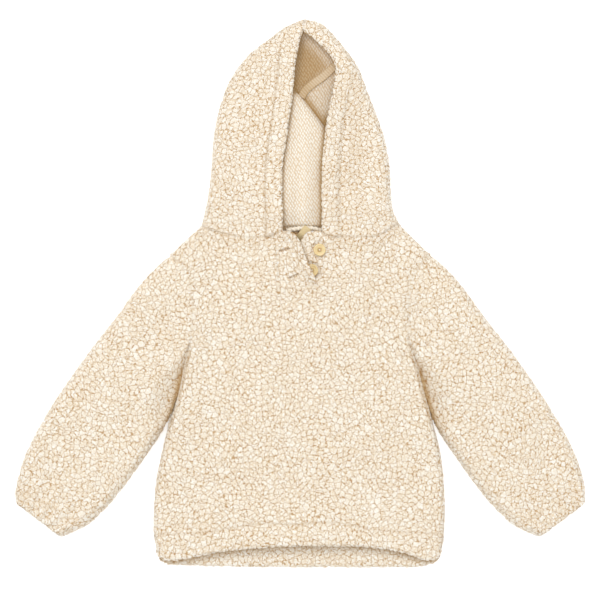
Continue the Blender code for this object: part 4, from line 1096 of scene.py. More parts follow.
def back_surface(u, v):
    """Plan, inside face and underside of the back, which lies on the plane."""
    sides = []
    for side in (-1, 1):
        line, tucked = side_line(side), tucked_line(side)[::-1]
        line = line[line[:, 1] < TUCK_END_Y - 14.0]
        tucked = tucked[tucked[:, 1] > TUCK_END_Y] - np.array([side * 1.3 * SEAM_GAP, 0.0])
        sides.append(np.concatenate((line, tucked)))
    arms, shoulders = both(armhole_line), both(shoulder_line)
    hem = curve(BACK_HEM)
    north = chain(shoulders[0], back_neck(-1)[::-1], back_neck(1), shoulders[1][::-1])
    plan = patch(hem, north, chain(sides[0], arms[0]), chain(sides[1], arms[1]), u, v)
    folded = nearest(plan, (*sides, *shoulders))
    thick = mix(WALL, HEM_WALL, hem_share(plan[..., 1]))
    top, under = round_hem(thick, thick, distance(plan, hem))
    return plan, top, np.maximum(under, BACK_LIP * (1.0 - dome(folded / BACK_CHAMFER)))


def build_back():
    u = graded(FRONT_WIDTH, 1.5, BACK_CHAMFER, BACK_CHAMFER)
    v = graded(BACK_LENGTH, LOW_STEP, HEM_ROUND, BACK_CHAMFER)
    plan, top, under = back_surface(u, v)
    band_v = graded(BACK_LENGTH, STEP, HEM_ROUND)
    band_v = band_v[band_v < 0.125][:0:-1]
    band_plan, band_top, _ = back_surface(u, band_v)
    band_top = np.minimum(band_top, mix(SPLIT, HEM_WALL, hem_share(band_plan[..., 1])))
    bottom = stack(plan, under)
    rim = moved_out(bottom[:1], bottom[1:2], RIM, (top[:1] + under[:1]) / 2)
    base, depth = joined((stack(band_plan, band_top), 0.9), (rim, 1.0), (bottom, 0.8))
    lift = base.copy()
    lift[..., 2] = np.concatenate((band_top, rim[..., 2], top)) + 0.1
    base = np.concatenate((lift[:, :1], base, lift[:, -1:]), axis=1)
    base = np.concatenate((base, base[-1:]))
    base[-1, :, 2] = WALL
    depth = np.pad(depth, ((0, 1), (1, 1)), constant_values=0.5)
    # Painted shadow of the front's hem on the back's hem band.
    shade = HEM_SHADE * bell(distance(base[..., :2], curve(FRONT_HEM)), 3.4)
    shade[len(band_top):] = 0.0
    pile("back_body", base, depth, shade, facing=-1)


def build_front_cloth():
    """The front's cloth, under its pile and over the pile inside its hem."""
    u, v, row, columns = front_grid(CLOTH_STEP, SIDE_ROUND, HEM_ROUND)
    plan, outer, inner, _, _ = front_surface(set_in(u, FRONT_INSET / FRONT_WIDTH),
                                             set_in(v, FRONT_INSET / FRONT_LENGTH))
    turned = hem_share(plan[..., 1])
    inner = np.minimum(inner + PILE_BED * turned, outer - PILE_BED - 0.7)
    keep = np.ones((len(v) - 1, len(u) - 1), bool)
    keep[row:, columns[0]:columns[1]] = False
    cloth("front_body", stack(plan, outer - PILE_BED), stack(plan, inner), keep=keep)


def build_back_cloth():
    """The back's cloth, over the pile that it rests on."""
    u, v = graded(FRONT_WIDTH, CLOTH_STEP), graded(BACK_LENGTH, CLOTH_STEP)
    plan, top, under = back_surface(set_in(u, BACK_INSET / FRONT_WIDTH),
                                    set_in(v, BACK_INSET / BACK_LENGTH))
    turned = hem_share(plan[..., 1])
    mesh = cloth("back_body", stack(plan, top - PILE_BED * turned), stack(plan, under + PILE_BED))
    shade_knit(mesh, neck_shade)


# ------------------------------------------------------------------ sleeves
def casing_share(to_end):
    """1 in the elastic casing, 0 above it."""
    return float(smooth((CASING_LENGTH + 5.0 - to_end) / 6.0))


def tucked_share(station):
    """1 where the sleeve's inner edge lies under the body, 0 below that."""
    return float(1.0 - smooth((station - 0.30) / 0.16))


def sleeve_height(plan, share, width, station, to_end, seam, side):
    """Outer height of a sleeve's upper layer away from its folded edges."""
    casing = casing_share(to_end)
    full = float(mix(SLEEVE_CROWN, CASING_CROWN, casing))
    at_seam = np.maximum(front_height(plan) - SEAM_DIP, BODY_REST - SEAM_DIP)
    top = mix(at_seam, full, smooth(distance(plan, seam) / SLEEVE_RISE))
    from_inner = (1.0 - share) * width
    limit = 2 * WALL + 0.45 + 0.42 * np.maximum(0.0, from_inner - TUCK_FLAT - 3.0)
    limit = limit + ARMPIT_RISE * smooth((plan[..., 1] - ARMPIT_RISE_Y) / 12.0)
    top = mix(top, np.minimum(top, limit), tucked_share(station))
    crease = CREASE_DEPTH * bell(to_end - CASING_LENGTH, 3.0)
    return top - crease - troughs(plan, SLEEVE_FOLDS, side)


def gathers(share, width, station):
    """Ripples of the cloth that the elastic draws in."""
    near = smooth((station - 0.80) / 0.12)
    ends = dome(share * width / 12.0) * dome((1 - share) * width / 12.0)
    return GATHER_DEPTH * near * ends * np.cos(2 * math.pi * GATHERS * (share - 0.06))


def sleeve_rings(side, stations, counts, bed=0.0):
    """Outer and inner rings of a sleeve, with each ring's distance to its end.

    counts are the points over the top and underneath; bed thins the wall
    from outside, by the depth that the pile takes.
    """
    table = np.array(SLEEVE_STATIONS)
    table[:, [0, 2]] = MIDDLE_X + side * table[:, [0, 2]]
    seam = armhole_line(side)[::-1]
    table[0] = (*seam[0], *seam[-1])
    length = float(np.linalg.norm(table[-1, :2] - table[0, :2]))
    chord = seam[-1] - seam[0]
    reach = float(np.linalg.norm(chord))
    offset = (seam - seam[0]) @ (np.array([-chord[1], chord[0]]) / reach)
    run = (seam - seam[0]) @ chord / reach**2
    rings = ([], [])
    to_ends = []
    for station, row in zip(stations, spline(table, stations)):
        start, end = row[:2], row[2:]
        width = float(np.linalg.norm(end - start))
        normal = np.array([start[1] - end[1], end[0] - start[0]]) / width
        fade = float((1.0 - smooth(station / SLEEVE_BEND)) ** 2)
        to_end = (1.0 - station) * length
        casing = casing_share(to_end)
        thick = float(mix(WALL, HEM_WALL, casing))
        edge = thick + 0.2
        tucked = tucked_share(station)
        rounding = (float(mix(SLEEVE_ROUND, CASING_ROUND, casing)),
                    float(mix(mix(SLEEVE_ROUND, 6.0, tucked), CASING_ROUND, casing)))
        close = float(1.0 - dome((to_end + 0.5) / HEM_ROUND))
        top_shares = rounded_shares(width, counts[0], rounding)
        low_shares = rounded_shares(width, counts[1], (edge, edge))[::-1][1:-1]
        for inside, kept in enumerate(rings):
            inset = ((thick + 0.3) if inside else bed) / width
            tops, lows = set_in(top_shares, inset), set_in(low_shares, inset)
            place = np.concatenate((tops, lows))
            bend = np.interp(place, run, offset) * fade
            plan = start + np.outer(place, end - start) + np.outer(bend, normal)
            height = sleeve_height(plan[:len(tops)], tops, width, station, to_end, seam, side)
            height = height + gathers(tops, width, station)
            filled = (1 - tops) * width + armpit_fill(plan[:len(tops)], side)
            rise = dome(tops * width / rounding[0]) * dome(filled / rounding[1])
            top = edge + (height - edge) * rise
            low_edge = np.minimum(lows, 1.0 - lows) * width
            if inside:
                top = np.maximum(top - thick, edge + LAY_GAP / 2)
                top[0] = top[-1] = edge
                top += thick / 2 * close
                low = np.full(len(lows), thick) - thick / 2 * close
            else:
                top[0] = top[-1] = edge
                top -= thick / 2 * close + bed * rise
                low = edge * (1.0 - dome(low_edge / edge)) + thick / 2 * close + bed
            kept.append(stack(plan, np.concatenate((top, low))))
        to_ends.append(to_end)
    return np.array(rings[0]), np.array(rings[1]), np.array(to_ends)


def rounded_shares(width, count, rounding):
    """Shares of a width, closer together along both of its rounded ends."""
    first, last = (min(r, 0.4 * width) for r in rounding)
    turns = [max(3, round(r * math.pi / 2 / (1.1 * width / count))) for r in rounding]
    head = first * (1.0 - np.cos(np.linspace(0.0, math.pi / 2, turns[0] + 1)))
    tail = width - last * (1.0 - np.cos(np.linspace(0.0, math.pi / 2, turns[1] + 1)))[::-1]
    middle = np.linspace(head[-1], tail[0], max(3, count - turns[0] - turns[1]))[1:-1]
    shares = np.concatenate((head, middle, tail)) / width
    return np.interp(np.linspace(0, 1, count), np.linspace(0, 1, len(shares)), shares)


def build_sleeve(node, side):
    stations = graded(SLEEVE_LENGTH, STEP, 0.0, HEM_ROUND)[::-1]
    outer, inner, to_end = sleeve_rings(side, stations, SLEEVE_POINTS)
    within = int((to_end < CASING_LENGTH + 2.0).sum())
    rim = outer[:1] + (inner[:1] - outer[:1]) / 2
    rim[..., :2] += (outer[:1, :, :2] - outer[4:5, :, :2]) * 0.2
    reach = [moved_out(outer[-1:], outer[-2:-1], out) - (0.0, 0.0, fall)
             for out, fall in SLEEVE_REACH]
    crease = stitch_valley(to_end - CASING_LENGTH, 1.4)[:, None]
    seam = armhole_line(side)
    drawn = np.maximum(crease, SEAM_DRAWN * stitch_valley(distance(outer[..., :2], seam)))
    drawn[:, SLEEVE_POINTS[0]:] = 0.0
    outer[..., 2] -= STITCH_DEPTH * drawn
    # Painted shade on the sleeve beside the body's side and the armpit, and along its stitches.
    edge = chain(side_line(side), seam[:12])
    beside = distance(outer[..., :2], edge)
    beside = ARM_SHADE * bell(beside, 4.6) + 0.65 * bell(beside, 11.0)
    beside *= smooth((-58.0 - outer[..., 1]) / 30.0)
    beside[:, SLEEVE_POINTS[0]:] = 0.0
    base, depth, shade = joined(
        (inner[within:0:-1], 0.7, 0.0), (rim, 0.7, 0.0),
        (outer, 1.0 - 0.5 * drawn, np.maximum(0.4 * drawn, beside)),
        *[(row, 0.6, 0.0) for row in (*reach, inner[-1:])])
    depth[:, SLEEVE_POINTS[0]:] = np.minimum(depth[:, SLEEVE_POINTS[0]:], 0.8)
    pile(node, base, depth, shade, closed=True)
    stations = np.unique(np.concatenate((np.linspace(0.0, 0.9, 50), np.linspace(0.9, 0.992, 14))))
    outer, inner, _ = sleeve_rings(side, stations, SLEEVE_CLOTH_POINTS, PILE_BED)
    cloth(node, outer, inner, closed=True)


# --------------------------------------------------------------------- hood
def opening_line(table):
    """Front edge of a hood half, from the neck to the crown."""
    return curve([row[:2] for row in table])


def hood_height(plan, from_opening):
    """Outer height of the hood's upper layer away from its fold."""
    facing = 1.0 - smooth((from_opening - HOOD_FACING_WIDTH + 4.0) / 9.0)
    height = mix(HOOD_PANEL_TOP, HOOD_FACING_TOP, facing)
    height = height - 0.5 * bell(from_opening - HOOD_FACING_WIDTH, 3.0)
    height = mix(height, HOOD_CROWN_TOP, smooth((plan[..., 1] - 225.0) / 45.0))
    at_neck = smooth((84.0 - plan[..., 1]) / 24.0)
    height = mix(height, np.minimum(height, NECK_TOP + NECK_FACING_RISE * facing), at_neck)
    return height - troughs(plan, HOOD_FOLDS)


def facing_share(from_opening):
    """1 in the turned facing of the hood's opening, 0 beyond it."""
    return 1.0 - smooth((from_opening - HOOD_FACING_WIDTH + 2.0) / 5.0)


def hood_rows(table, neck, side, stations, counts, bed=0.0):
    """Points of a hood half: outer and inner of its upper layer, then of the one beneath."""
    neck = curve(neck)[::side]
    rows = spline(np.array(table), stations)
    opening, fold = rows[:, :2], rows[:, 2:]
    seam = np.array(CENTRE_SEAM)
    lengths = (opening[:, 1] - opening[0, 1]) / (opening[-1, 1] - opening[0, 1])
    under_end = seam[0] + np.outer(lengths, seam[1] - seam[0])
    behind = back_neck(side)
    found = ([], [], [], [])
    for k, station in enumerate(stations):
        start, end, under = opening[k], fold[k], under_end[k]
        width = float(np.linalg.norm(end - start))
        reach = float(np.linalg.norm(end - under))
        fade = float((1.0 - smooth(station / HOOD_BEND)) ** 2)
        edge = WALL + 0.3
        rounding = min(HOOD_ROUND, 0.75 * width)
        tops = rounded_shares(width, counts[0], (HEM_ROUND, rounding))
        lows = rounded_shares(reach, counts[1], (0.5, edge))[::-1]
        tops = set_in(tops, bed / width)
        lows = lows * (1 - bed / reach)

        def on_neck(shares):
            return (along(neck, shares) - (neck[0] + np.outer(shares, neck[-1] - neck[0]))) * fade

        plan = start + np.outer(tops, end - start) + on_neck(tops)
        from_opening = tops * width
        from_fold = (1.0 - tops) * width
        faced = facing_share(from_opening) * float(smooth((1.0 - station) / 0.12))
        thick = mix(WALL, HEM_WALL, faced)
        height = hood_height(plan, from_opening)
        rise = dome(from_fold / rounding)
        outer = edge + (height - edge) * rise
        inner = outer - thick
        lip = dome((from_opening + 0.4) / HEM_ROUND)
        shared = (outer + inner) / 2
        near = from_opening < HEM_ROUND
        outer = np.where(near, shared + (outer - shared) * lip, outer)
        inner = np.where(near, shared - (shared - inner) * lip, inner)
        wall_inset = edge / width
        inner_shares = np.where(tops > 1.0 - 2.2 * wall_inset,
                                1.0 - wall_inset - (1.0 - tops) * 0.55, tops)
        inner_plan = start + np.outer(inner_shares, end - start) + on_neck(tops)
        inner = np.maximum(inner, edge + 0.15)
        outer = np.maximum(outer - bed * rise, inner + 0.4) if bed else outer
        inner = inner + bed * faced

        bend = (along(behind, lows) - (behind[0] + np.outer(lows, behind[-1] - behind[0]))) * fade
        low = under + np.outer(lows, end - under) + bend
        low_outer = edge * (1.0 - dome((1.0 - lows) * reach / edge)) + bed
        low_shares = np.minimum(lows, 1.0 - edge / reach - (1.0 - lows) * 0.3)
        low_plan = low + np.outer(low_shares - lows, end - under)
        low_outer = np.minimum(low_outer, WALL - 0.5) if bed else low_outer
        surfaces = (stack(plan, outer), stack(inner_plan, inner), stack(low, low_outer),
                    stack(low_plan, np.full(len(low), WALL)))
        for kept, points in zip(found, surfaces):
            kept.append(points)
    return [np.array(kept) for kept in found]


def build_hood_half(node, table, neck, side):
    stations = graded(HOOD_LENGTH, STEP)
    outer, inner, low, _ = hood_rows(table, neck, side, stations, HOOD_POINTS)
    width = np.linalg.norm(outer[:, -1, :2] - outer[:, 0, :2], axis=1)
    from_opening = np.linalg.norm(outer[..., :2] - outer[:, :1, :2], axis=-1)
    facing = inner[:, FACING_POINTS:0:-1]
    rim = moved_out(outer[:, :1], outer[:, 2:3], RIM, (outer[:, :1, 2] + inner[:, :1, 2]) / 2)
    seam = front_neck()
    stitched = stitch_valley(from_opening - HOOD_FACING_WIDTH, 1.0)
    stitched = stitched * smooth((width - 24.0) / 14.0)[:, None]
    centre = CROWN_SEAM_VALLEY * stitch_valley((1.0 - stations)[:, None] * HOOD_LENGTH, 1.6)
    at_neck = 0.6 * stitch_valley(distance(outer[..., :2], seam))
    drawn = np.maximum(np.maximum(FACING_DRAWN[side] * stitched, at_neck), centre)
    outer[..., 2] -= HOOD_STITCH_DEPTH * drawn
    # Painted shade on the rim, the facing, the stitches and soft troughs; on the left half's upper
    # rim a painted glow instead.
    lit = (side > 0) * smooth((outer[:, :1, 1] - 195.0) / 20.0)
    dark = mix(HOOD_RIM_SHADE, RIM_GLOW, lit)
    shaded = 0.9 * drawn + (troughs(outer[..., :2], HOOD_SHADES) if side > 0 else 0.0)
    base, depth, shade = joined((facing, 0.8, dark), (rim, 0.6, dark),
                                (outer, 1.0 - 0.5 * drawn, shaded), (low, 0.8, 0.0), axis=1)
    first = FACING_POINTS + 1
    last = first + HOOD_POINTS[0]
    ends = []
    for place, axis, out in ((0, 1, SEAM_SLIP), (-1, 0, side * SEAM_SLIP)):
        turned = base[place].copy()
        turned[first:last, 2] = np.maximum(WALL, turned[first:last, 2] - HOOD_END_FALL)
        turned[last:, 2] = WALL - 0.2
        turned[:, axis] -= out
        ends.append(turned[None])
    base = np.concatenate((ends[0], base, ends[1]))
    depth = np.pad(depth, ((1, 1), (0, 0)), constant_values=0.5)
    shade = np.pad(shade, ((1, 1), (0, 0)))
    pile(node, base, depth, shade)
    stations = np.linspace(0.006, 0.995, 80)
    outer, inner, low, low_inner = hood_rows(table, neck, side, stations, HOOD_CLOTH_POINTS,
                                             PILE_BED)
    shade_knit(cloth(node, np.concatenate((outer, low), axis=1),
                     np.concatenate((inner, low_inner), axis=1)))


def inner_shade(points):
    """Painted shade of the knit inside the hood, deep under its rim and along its folds."""
    plan = points[..., :2]
    tape = np.array((TAPE_LINE[0], TAPE_LINE[3]))
    run = (tape[1] - tape[0]) / np.linalg.norm(tape[1] - tape[0])
    above = (plan - tape[0]) @ np.array([run[1], -run[0]])
    left_rim = opening_line(HOOD_LEFT)
    lit = bell(distance(plan, left_rim[left_rim[:, 1] > 222.0]), 8.0)
    lower = points[..., 2] < FOLD_REST - 4.5
    found = [DEPTH_SHADE * smooth((above + 1.0) / 7.0) * (1.0 - 0.85 * lit), LIT_SHADE * lower]
    for table, sharp, wide, fade_y in ((HOOD_RIGHT, 1.5, 4.0, 400.0), (HOOD_LEFT, 3.0, 7.0, 172.0)):
        away = distance(plan, opening_line(table))
        dark = RIM_SHADE * bell(away, sharp) + 0.22 * bell(away, wide)
        found.append(dark * (1.0 - 0.9 * smooth((plan[..., 1] - fade_y) / 20.0)))
    beside = distance(plan, curve(FOLD_TOP))
    found.append(np.where(lower, FOLD_SHADE * bell(beside, 7.0), 0.3 * bell(beside, 2.5)))
    return np.clip(np.maximum.reduce(found), 0.0, 1.0)


def tape_shade(points):
    """Shade of the tape: darker along its edges and between its ribs, and towards its low end."""
    plan = points[..., :2]
    start, end = np.array(TAPE_LINE[0]), np.array(TAPE_LINE[-1])
    run = (plan - start) @ (end - start) / np.linalg.norm(end - start)
    away = distance(plan, curve(TAPE_LINE))
    bars = 0.5 + 0.5 * np.cos(2 * math.pi * run / TAPE_RIB)
    edge = bell(away - TAPE_WIDTH / 2 + 0.3, 0.7)
    return np.clip(0.47 + 0.16 * smooth((run - 20.0) / 20.0) + 0.26 * bars + 0.4 * edge, 0.0, 1.0)


def neck_shade(points):
    """Painted shade and glow on the back's knit where it shows behind the front's neck."""
    return NECK_GLOW * bell(distance(points[..., :2], front_neck()), 9.0)


def shade_knit(mesh, shade=inner_shade):
    """Store a mesh's shade on its points, by default that inside the hood."""
    points = np.zeros(len(mesh.vertices) * 3, np.float32)
    mesh.vertices.foreach_get("co", points)
    made = mesh.attributes.new("shade", "FLOAT", "POINT")
    made.data.foreach_set("value", shade(points.reshape(-1, 3) / MM).astype(np.float32))


def hood_underside(plan):
    """Height below which cloth fits under the hood's upper layer."""
    limits = []
    for table, side in ((HOOD_RIGHT, -1), (HOOD_LEFT, 1)):
        opening = opening_line(table)
        past = side * (plan[..., 0] - np.interp(plan[..., 1], opening[:, 1], opening[:, 0]))
        inside = np.maximum(past, 0.0)
        height = hood_height(plan, inside)
        thick = mix(WALL, HEM_WALL, facing_share(inside))
        limits.append(height - thick / 2 - thick / 2 * dome(inside / HEM_ROUND)
                      + np.maximum(-past, 0.0))
    return np.minimum(*limits) - FOLD_CLEAR


def build_hood_fold():
    """The hood's spare cloth at the back, folded forward inside it."""
    bottom, top, right, left = (curve(k) for k in (FOLD_BOTTOM, FOLD_TOP, FOLD_RIGHT_SIDE,
                                                   FOLD_LEFT_SIDE))
    u, v = [graded(size, FOLD_STEP, 6.0, 6.0) for size in (FOLD_WIDTH, FOLD_LENGTH)]
    plan = patch(bottom, top, right, left, u, v)
    edge = nearest(plan, (top, right, left))
    edge = np.minimum(edge, 2.4 * distance(plan, bottom))
    base = SPLIT
    bulge = FOLD_BULGE * bell(plan[..., 0] - FOLD_BULGE_X, FOLD_BULGE_WIDTH)
    bulge *= 1.0 - smooth((plan[..., 1] - 150.0) / 40.0)
    creases = troughs(plan, INNER_CREASES) * dome(edge / FOLD_ROUND)
    creases += FOLD_FALL * bell(distance(plan, bottom), 13.0)
    height = np.minimum(FOLD_REST + bulge - creases, hood_underside(plan))
    outer = base + 1.0 + (height - base - 1.0) * dome((edge + 0.3) / FOLD_ROUND)
    shade_knit(cloth("hood_fold", stack(plan, outer), stack(plan, np.full(outer.shape, base))))


# -------------------------------------------------------------- small pieces
def strip(name, line, width, thickness, columns, wave):
    """Closed flat strip along a line of x, y, z, raised by wave(run, across)."""
    line = np.asarray(line, float)
    along_line = np.gradient(line[:, :2], axis=0)
    along_line /= np.linalg.norm(along_line, axis=1, keepdims=True)
    side = np.stack((-along_line[:, 1], along_line[:, 0]), axis=1)
    across = np.linspace(-0.5, 0.5, columns)
    run = run_of(line)
    plan = line[:, None, :2] + side[:, None] * (across * width)[None, :, None]
    low = np.repeat(line[:, 2:3], columns, axis=1)
    top = low + thickness + wave(run[:, None], across[None] * width)
    return wall_mesh(name, stack(plan, top), stack(plan, low))


def tube(name, line, radius_at, segments):
    """Closed tube along a line of x, y, z, with a radius for each run and angle."""
    line = np.asarray(line, float)
    ahead = np.gradient(line, axis=0)
    ahead /= np.linalg.norm(ahead, axis=1, keepdims=True)
    side = np.cross(ahead, (0.0, 0.0, 1.0))
    side /= np.linalg.norm(side, axis=1, keepdims=True)
    up = np.cross(side, ahead)
    run = run_of(line)
    angle = np.linspace(0.0, 2 * math.pi, segments, endpoint=False)
    radius = radius_at(run[:, None], angle[None])
    rings = (line[:, None] + side[:, None] * (radius * np.cos(angle))[..., None]
             + up[:, None] * (radius * np.sin(angle))[..., None])
    ends = [np.repeat(line[k][None, None], segments, axis=1) for k in (0, -1)]
    rings = np.concatenate((ends[0], rings, ends[1]))
    return grid_mesh(name, rings, closed=True, flip=True)


def build_neck_inside():
    """Seam tape in the hood, rolled back-neck seam and the bare ribbon label."""
    plan = curve(TAPE_LINE, 90)

    def ribs(run, across):
        edge = bell(abs(across) - TAPE_WIDTH / 2 + 1.0, 0.45)
        bars = 0.5 + 0.5 * np.cos(2 * math.pi * run / TAPE_RIB + 0.5 * across)
        return 0.35 * bars * (abs(across) < 3.2) + 0.45 * edge * (0.7 + 0.3 * np.cos(5.2 * run))

    mesh = strip("hood_seam_tape_cloth", stack(plan, np.full(90, SPLIT)),
                 TAPE_SHOWN * TAPE_WIDTH, TAPE_THICKNESS, 19, ribs)
    add_piece("hood_seam_tape_cloth", mesh, "knit", TAPE_KNIT,
                                         "hood_seam_tape")
    shade_knit(mesh, tape_shade)

    plan = spline(NECK_ROLL, np.linspace(0, 1, 110))
    line = stack(plan, np.full(110, SPLIT + ROLL_DIAMETER / 2))

    def twist(run, angle):
        strands = 0.16 * np.cos(2 * angle + run * 1.5) + 0.03 * np.cos(14 * angle + 9 * run)
        return ROLL_DIAMETER / 2 * (0.98 + strands)

    mesh = tube("neck_roll_twist", line, twist, 40)
    add_piece("neck_roll_twist", mesh, "knit", TAPE_KNIT, "neck_roll")

    start, end = np.array(LABEL_START), np.array(LABEL_END)
    shares = np.linspace(0, 1, 60)
    roll_top = SPLIT + ROLL_DIAMETER + LAY_GAP
    height = mix(roll_top, SPLIT, smooth((shares - 0.42) / 0.45))
    line = stack(start + np.outer(shares, end - start), height)

    def selvedge(run, across):
        edge = smooth((abs(across) - LABEL_WIDTH / 2 + 0.9) / 0.5)
        return 0.18 * edge + 0.05 * np.cos(2 * math.pi * run / 0.7) - 0.12 * (1.0 + across / 8.0)

    mesh = strip("neck_label_ribbon", line, LABEL_WIDTH, LABEL_THICKNESS, 25, selvedge)
    add_piece("neck_label_ribbon", mesh, "ribbon", RIBBON, "neck_label")


def free_share(plan):
    """1 where the flap's edge is free, 0 where it is sewn down."""
    return smooth((plan[..., 1] - SEWN_TOP_Y) / 6.0)


def placket_lift(plan, edge):
    """How far the flap stands above the front, most along its free edge."""
    reach = plan[..., 0] - SLASH_RIGHT_X
    whole = reach + distance(plan, edge)
    risen = smooth((plan[..., 1] - SLASH_END_Y) / 26.0)
    return mix(FLAP_LIFT_END, FLAP_LIFT, risen) * smooth(reach / np.maximum(whole, 1.0))


def placket_pile(node, plan, outer, inner, depth, shade, side):
    """Pile all round a placket piece, over its top and back underneath."""
    top, under = stack(plan, outer), stack(plan, inner)
    base_edge = top[:, 0] if side < 0 else top[:, -1]
    for run_on in OVERLAPS:
        column = base_edge + np.array([side * run_on, 0.0, 0.0])
        column[:, 2] = front_height(column[:, :2]) - 0.12 * run_on
        column_under = column - np.array([0.0, 0.0, WALL * 0.8])
        grids = []
        for grid, new in ((top, column), (under, column_under)):
            pair = (new[:, None], grid) if side < 0 else (grid, new[:, None])
            grids.append(np.concatenate(pair, axis=1))
        top, under = grids
        widen = ((0, 0), (1, 0) if side < 0 else (0, 1))
        depth, shade = [np.pad(field, widen, mode="edge") for field in (depth, shade)]
    first, first_under = top[0].copy(), under[0].copy()
    for run_on in OVERLAPS:
        row = first - np.array([0.0, run_on, 0.0])
        row[:, 2] = np.minimum(row[:, 2], front_height(row[:, :2]) + 0.3) - 0.12 * run_on
        row_under = first_under - np.array([0.0, run_on, 0.0])
        top, under = np.concatenate((row[None], top)), np.concatenate((row_under[None], under))
        depth, shade = [np.pad(field, ((1, 0), (0, 0)), mode="edge") for field in (depth, shade)]
    base, depth, shade = joined((top, depth, shade), (under[:, ::-1], 0.35, 0.0), axis=1)
    cap_low, cap_high = base[:1].copy(), base[-1:].copy()
    cap_high[..., 1] += 1.5 * RIM
    for cap in (cap_low, cap_high):
        cap[..., 2] = (cap[..., 2] + cap[:, ::-1, 2]) / 2
    base = np.concatenate((cap_low, base, cap_high))
    depth = np.pad(depth, ((1, 1), (0, 0)), constant_values=0.4)
    shade = np.pad(shade, ((1, 1), (0, 0)))
    pile(node, base, depth, shade, closed=True)


def placket_cloth(node, plan, middle, below):
    """Thin cloth along the middle of a placket piece's wall, some way in from its edges."""
    plan, middle = plan[::6, ::5], middle[::6, ::5]
    plan = plan + PLACKET_INSET * (plan.mean(axis=(0, 1)) - plan)
    cloth(node, stack(plan, middle + 0.2), stack(plan, middle - below))


def buttonhole_shares(plan):
    """How far open the slits of the buttonholes are, and how near they are."""
    slit, near = np.zeros(plan.shape[:2]), np.zeros(plan.shape[:2])
    reach = BUTTONHOLE_LENGTH / 2 - 0.6
    for x, y, tilt in BUTTONHOLES:
        dx, dy = math.cos(math.radians(tilt)) * reach, math.sin(math.radians(tilt)) * reach
        away = distance(plan, ((x - dx, y - dy), (x + dx, y + dy)))
        run = (plan[..., 0] - x) / (reach + 0.6)
        open_here = 0.75 + 0.25 * np.cos(7.0 * run + 0.9) - 0.2 * run
        slit = np.maximum(slit, open_here * (1.0 - smooth((away - 0.3) / 0.9)))
        near = np.maximum(near, 1.0 - smooth((away - 1.0) / 3.0))
    return slit, near


def build_flap(bottom, west, edge):
    """Upper placket piece, with the buttonholes."""
    _, low_x, low_y = BUTTONS[1]
    u = graded(FLAP_WIDTH, FLAP_STEP, 0.0, WALL / 2)
    v = graded(SLASH_LENGTH, FLAP_STEP, 0.0, WALL / 2)
    top = curve(FLAP_TOP, 20)
    plan = patch(bottom, top, west, edge, u, v)
    over_button = BUTTON_BUMP * bell(from_point(plan, low_x, low_y), BUTTON_BUMP_WIDTH)
    height = front_height(plan) + placket_lift(plan, edge) + over_button
    free = np.minimum(distance(plan, edge), distance(plan, top[8:]))
    height += FLAP_PUFF * bell(free - 4.0, 3.5) * smooth((plan[..., 1] - 6.0) / 12.0)
    lip = WALL / 2 * dome((free + 0.3 + 3.0 * (1.0 - free_share(plan))) / (WALL / 2))
    neck = stitch_valley(distance(plan, FRONT_LINES["neck"])) * (plan[..., 0] < -8.0)
    slit, near = buttonhole_shares(plan)
    middle = height - WALL / 2
    outer = middle + lip - STITCH_DEPTH * neck - SLIT_DEPTH * slit - 0.3 * near
    depth = (1.0 - 0.5 * neck) * (1.0 - 0.6 * near) * (1 - 0.6 * smooth((1.2 - free) / 1.2))
    # Painted shade in the buttonholes' slits and along the neck's stitches.
    placket_pile("placket_over", plan, outer, middle - lip, depth,
                 np.maximum(0.5 * neck, 1.9 * slit), -1)
    placket_cloth("placket_over", plan, middle - 1.1 * near, 0.7)


def build_under_piece(bottom, hidden, east, edge):
    """Lower placket piece, which carries the buttons and runs on under the flap's edge."""
    u = graded(UNDER_WIDTH, FLAP_STEP, WALL / 2)
    v = graded(SLASH_LENGTH, FLAP_STEP, 0.0, WALL / 2)
    plan = patch(bottom, curve(UNDER_TOP, 20), hidden, east, u, v)
    beyond = plan[..., 0] - np.interp(plan[..., 1], edge[:, 1], edge[:, 0])
    room = SLASH_LEFT_X - SEAM_GAP - (plan[..., 0] - beyond)
    ramp = smooth((beyond - 2.5) / np.maximum(room - 3.5, 1.0))
    beneath = plan.copy()
    beneath[..., 0] -= np.maximum(beyond, 0.0)
    drop = front_height(beneath) + placket_lift(beneath, edge) - WALL - UNDER_CLEAR
    height = mix(np.minimum(drop, front_height(plan)), front_height(plan), ramp)
    level = (1.0 - free_share(plan)) * smooth((beyond + 2.2) / 2.4)
    height = mix(height, front_height(plan), level)
    height -= BUTTON_DIMPLE * button_dimple(plan)
    lip = UNDER_WALL / 2 * dome((distance(plan, hidden) + 0.3) / (UNDER_WALL / 2))
    proud = np.ones(plan.shape[:2])
    for _, x, y in BUTTONS:
        proud *= 0.25 + 0.75 * smooth((from_point(plan, x, y) - BUTTON_RADIUS + 0.8) / 2.0)
    neck = stitch_valley(distance(plan, FRONT_LINES["neck"])) * (plan[..., 0] > 22.0)
    covered = smooth((beyond + 1.5) / 3.0)
    middle = height - UNDER_WALL / 2
    outer = middle + lip - STITCH_DEPTH * neck - 0.35 * (1.0 - covered)
    # Painted shadow beside the flap's free edge, and painted shade along the neck's stitches.
    beside = FLAP_SHADE * bell(beyond - 0.4, 1.5) * free_share(plan)
    placket_pile("placket_under", plan, outer, middle - lip,
                 proud * (1.0 - 0.5 * neck) * (0.2 + 0.8 * covered),
                 np.maximum(0.5 * neck, beside), 1)
    placket_cloth("placket_under", plan, middle, 0.6)


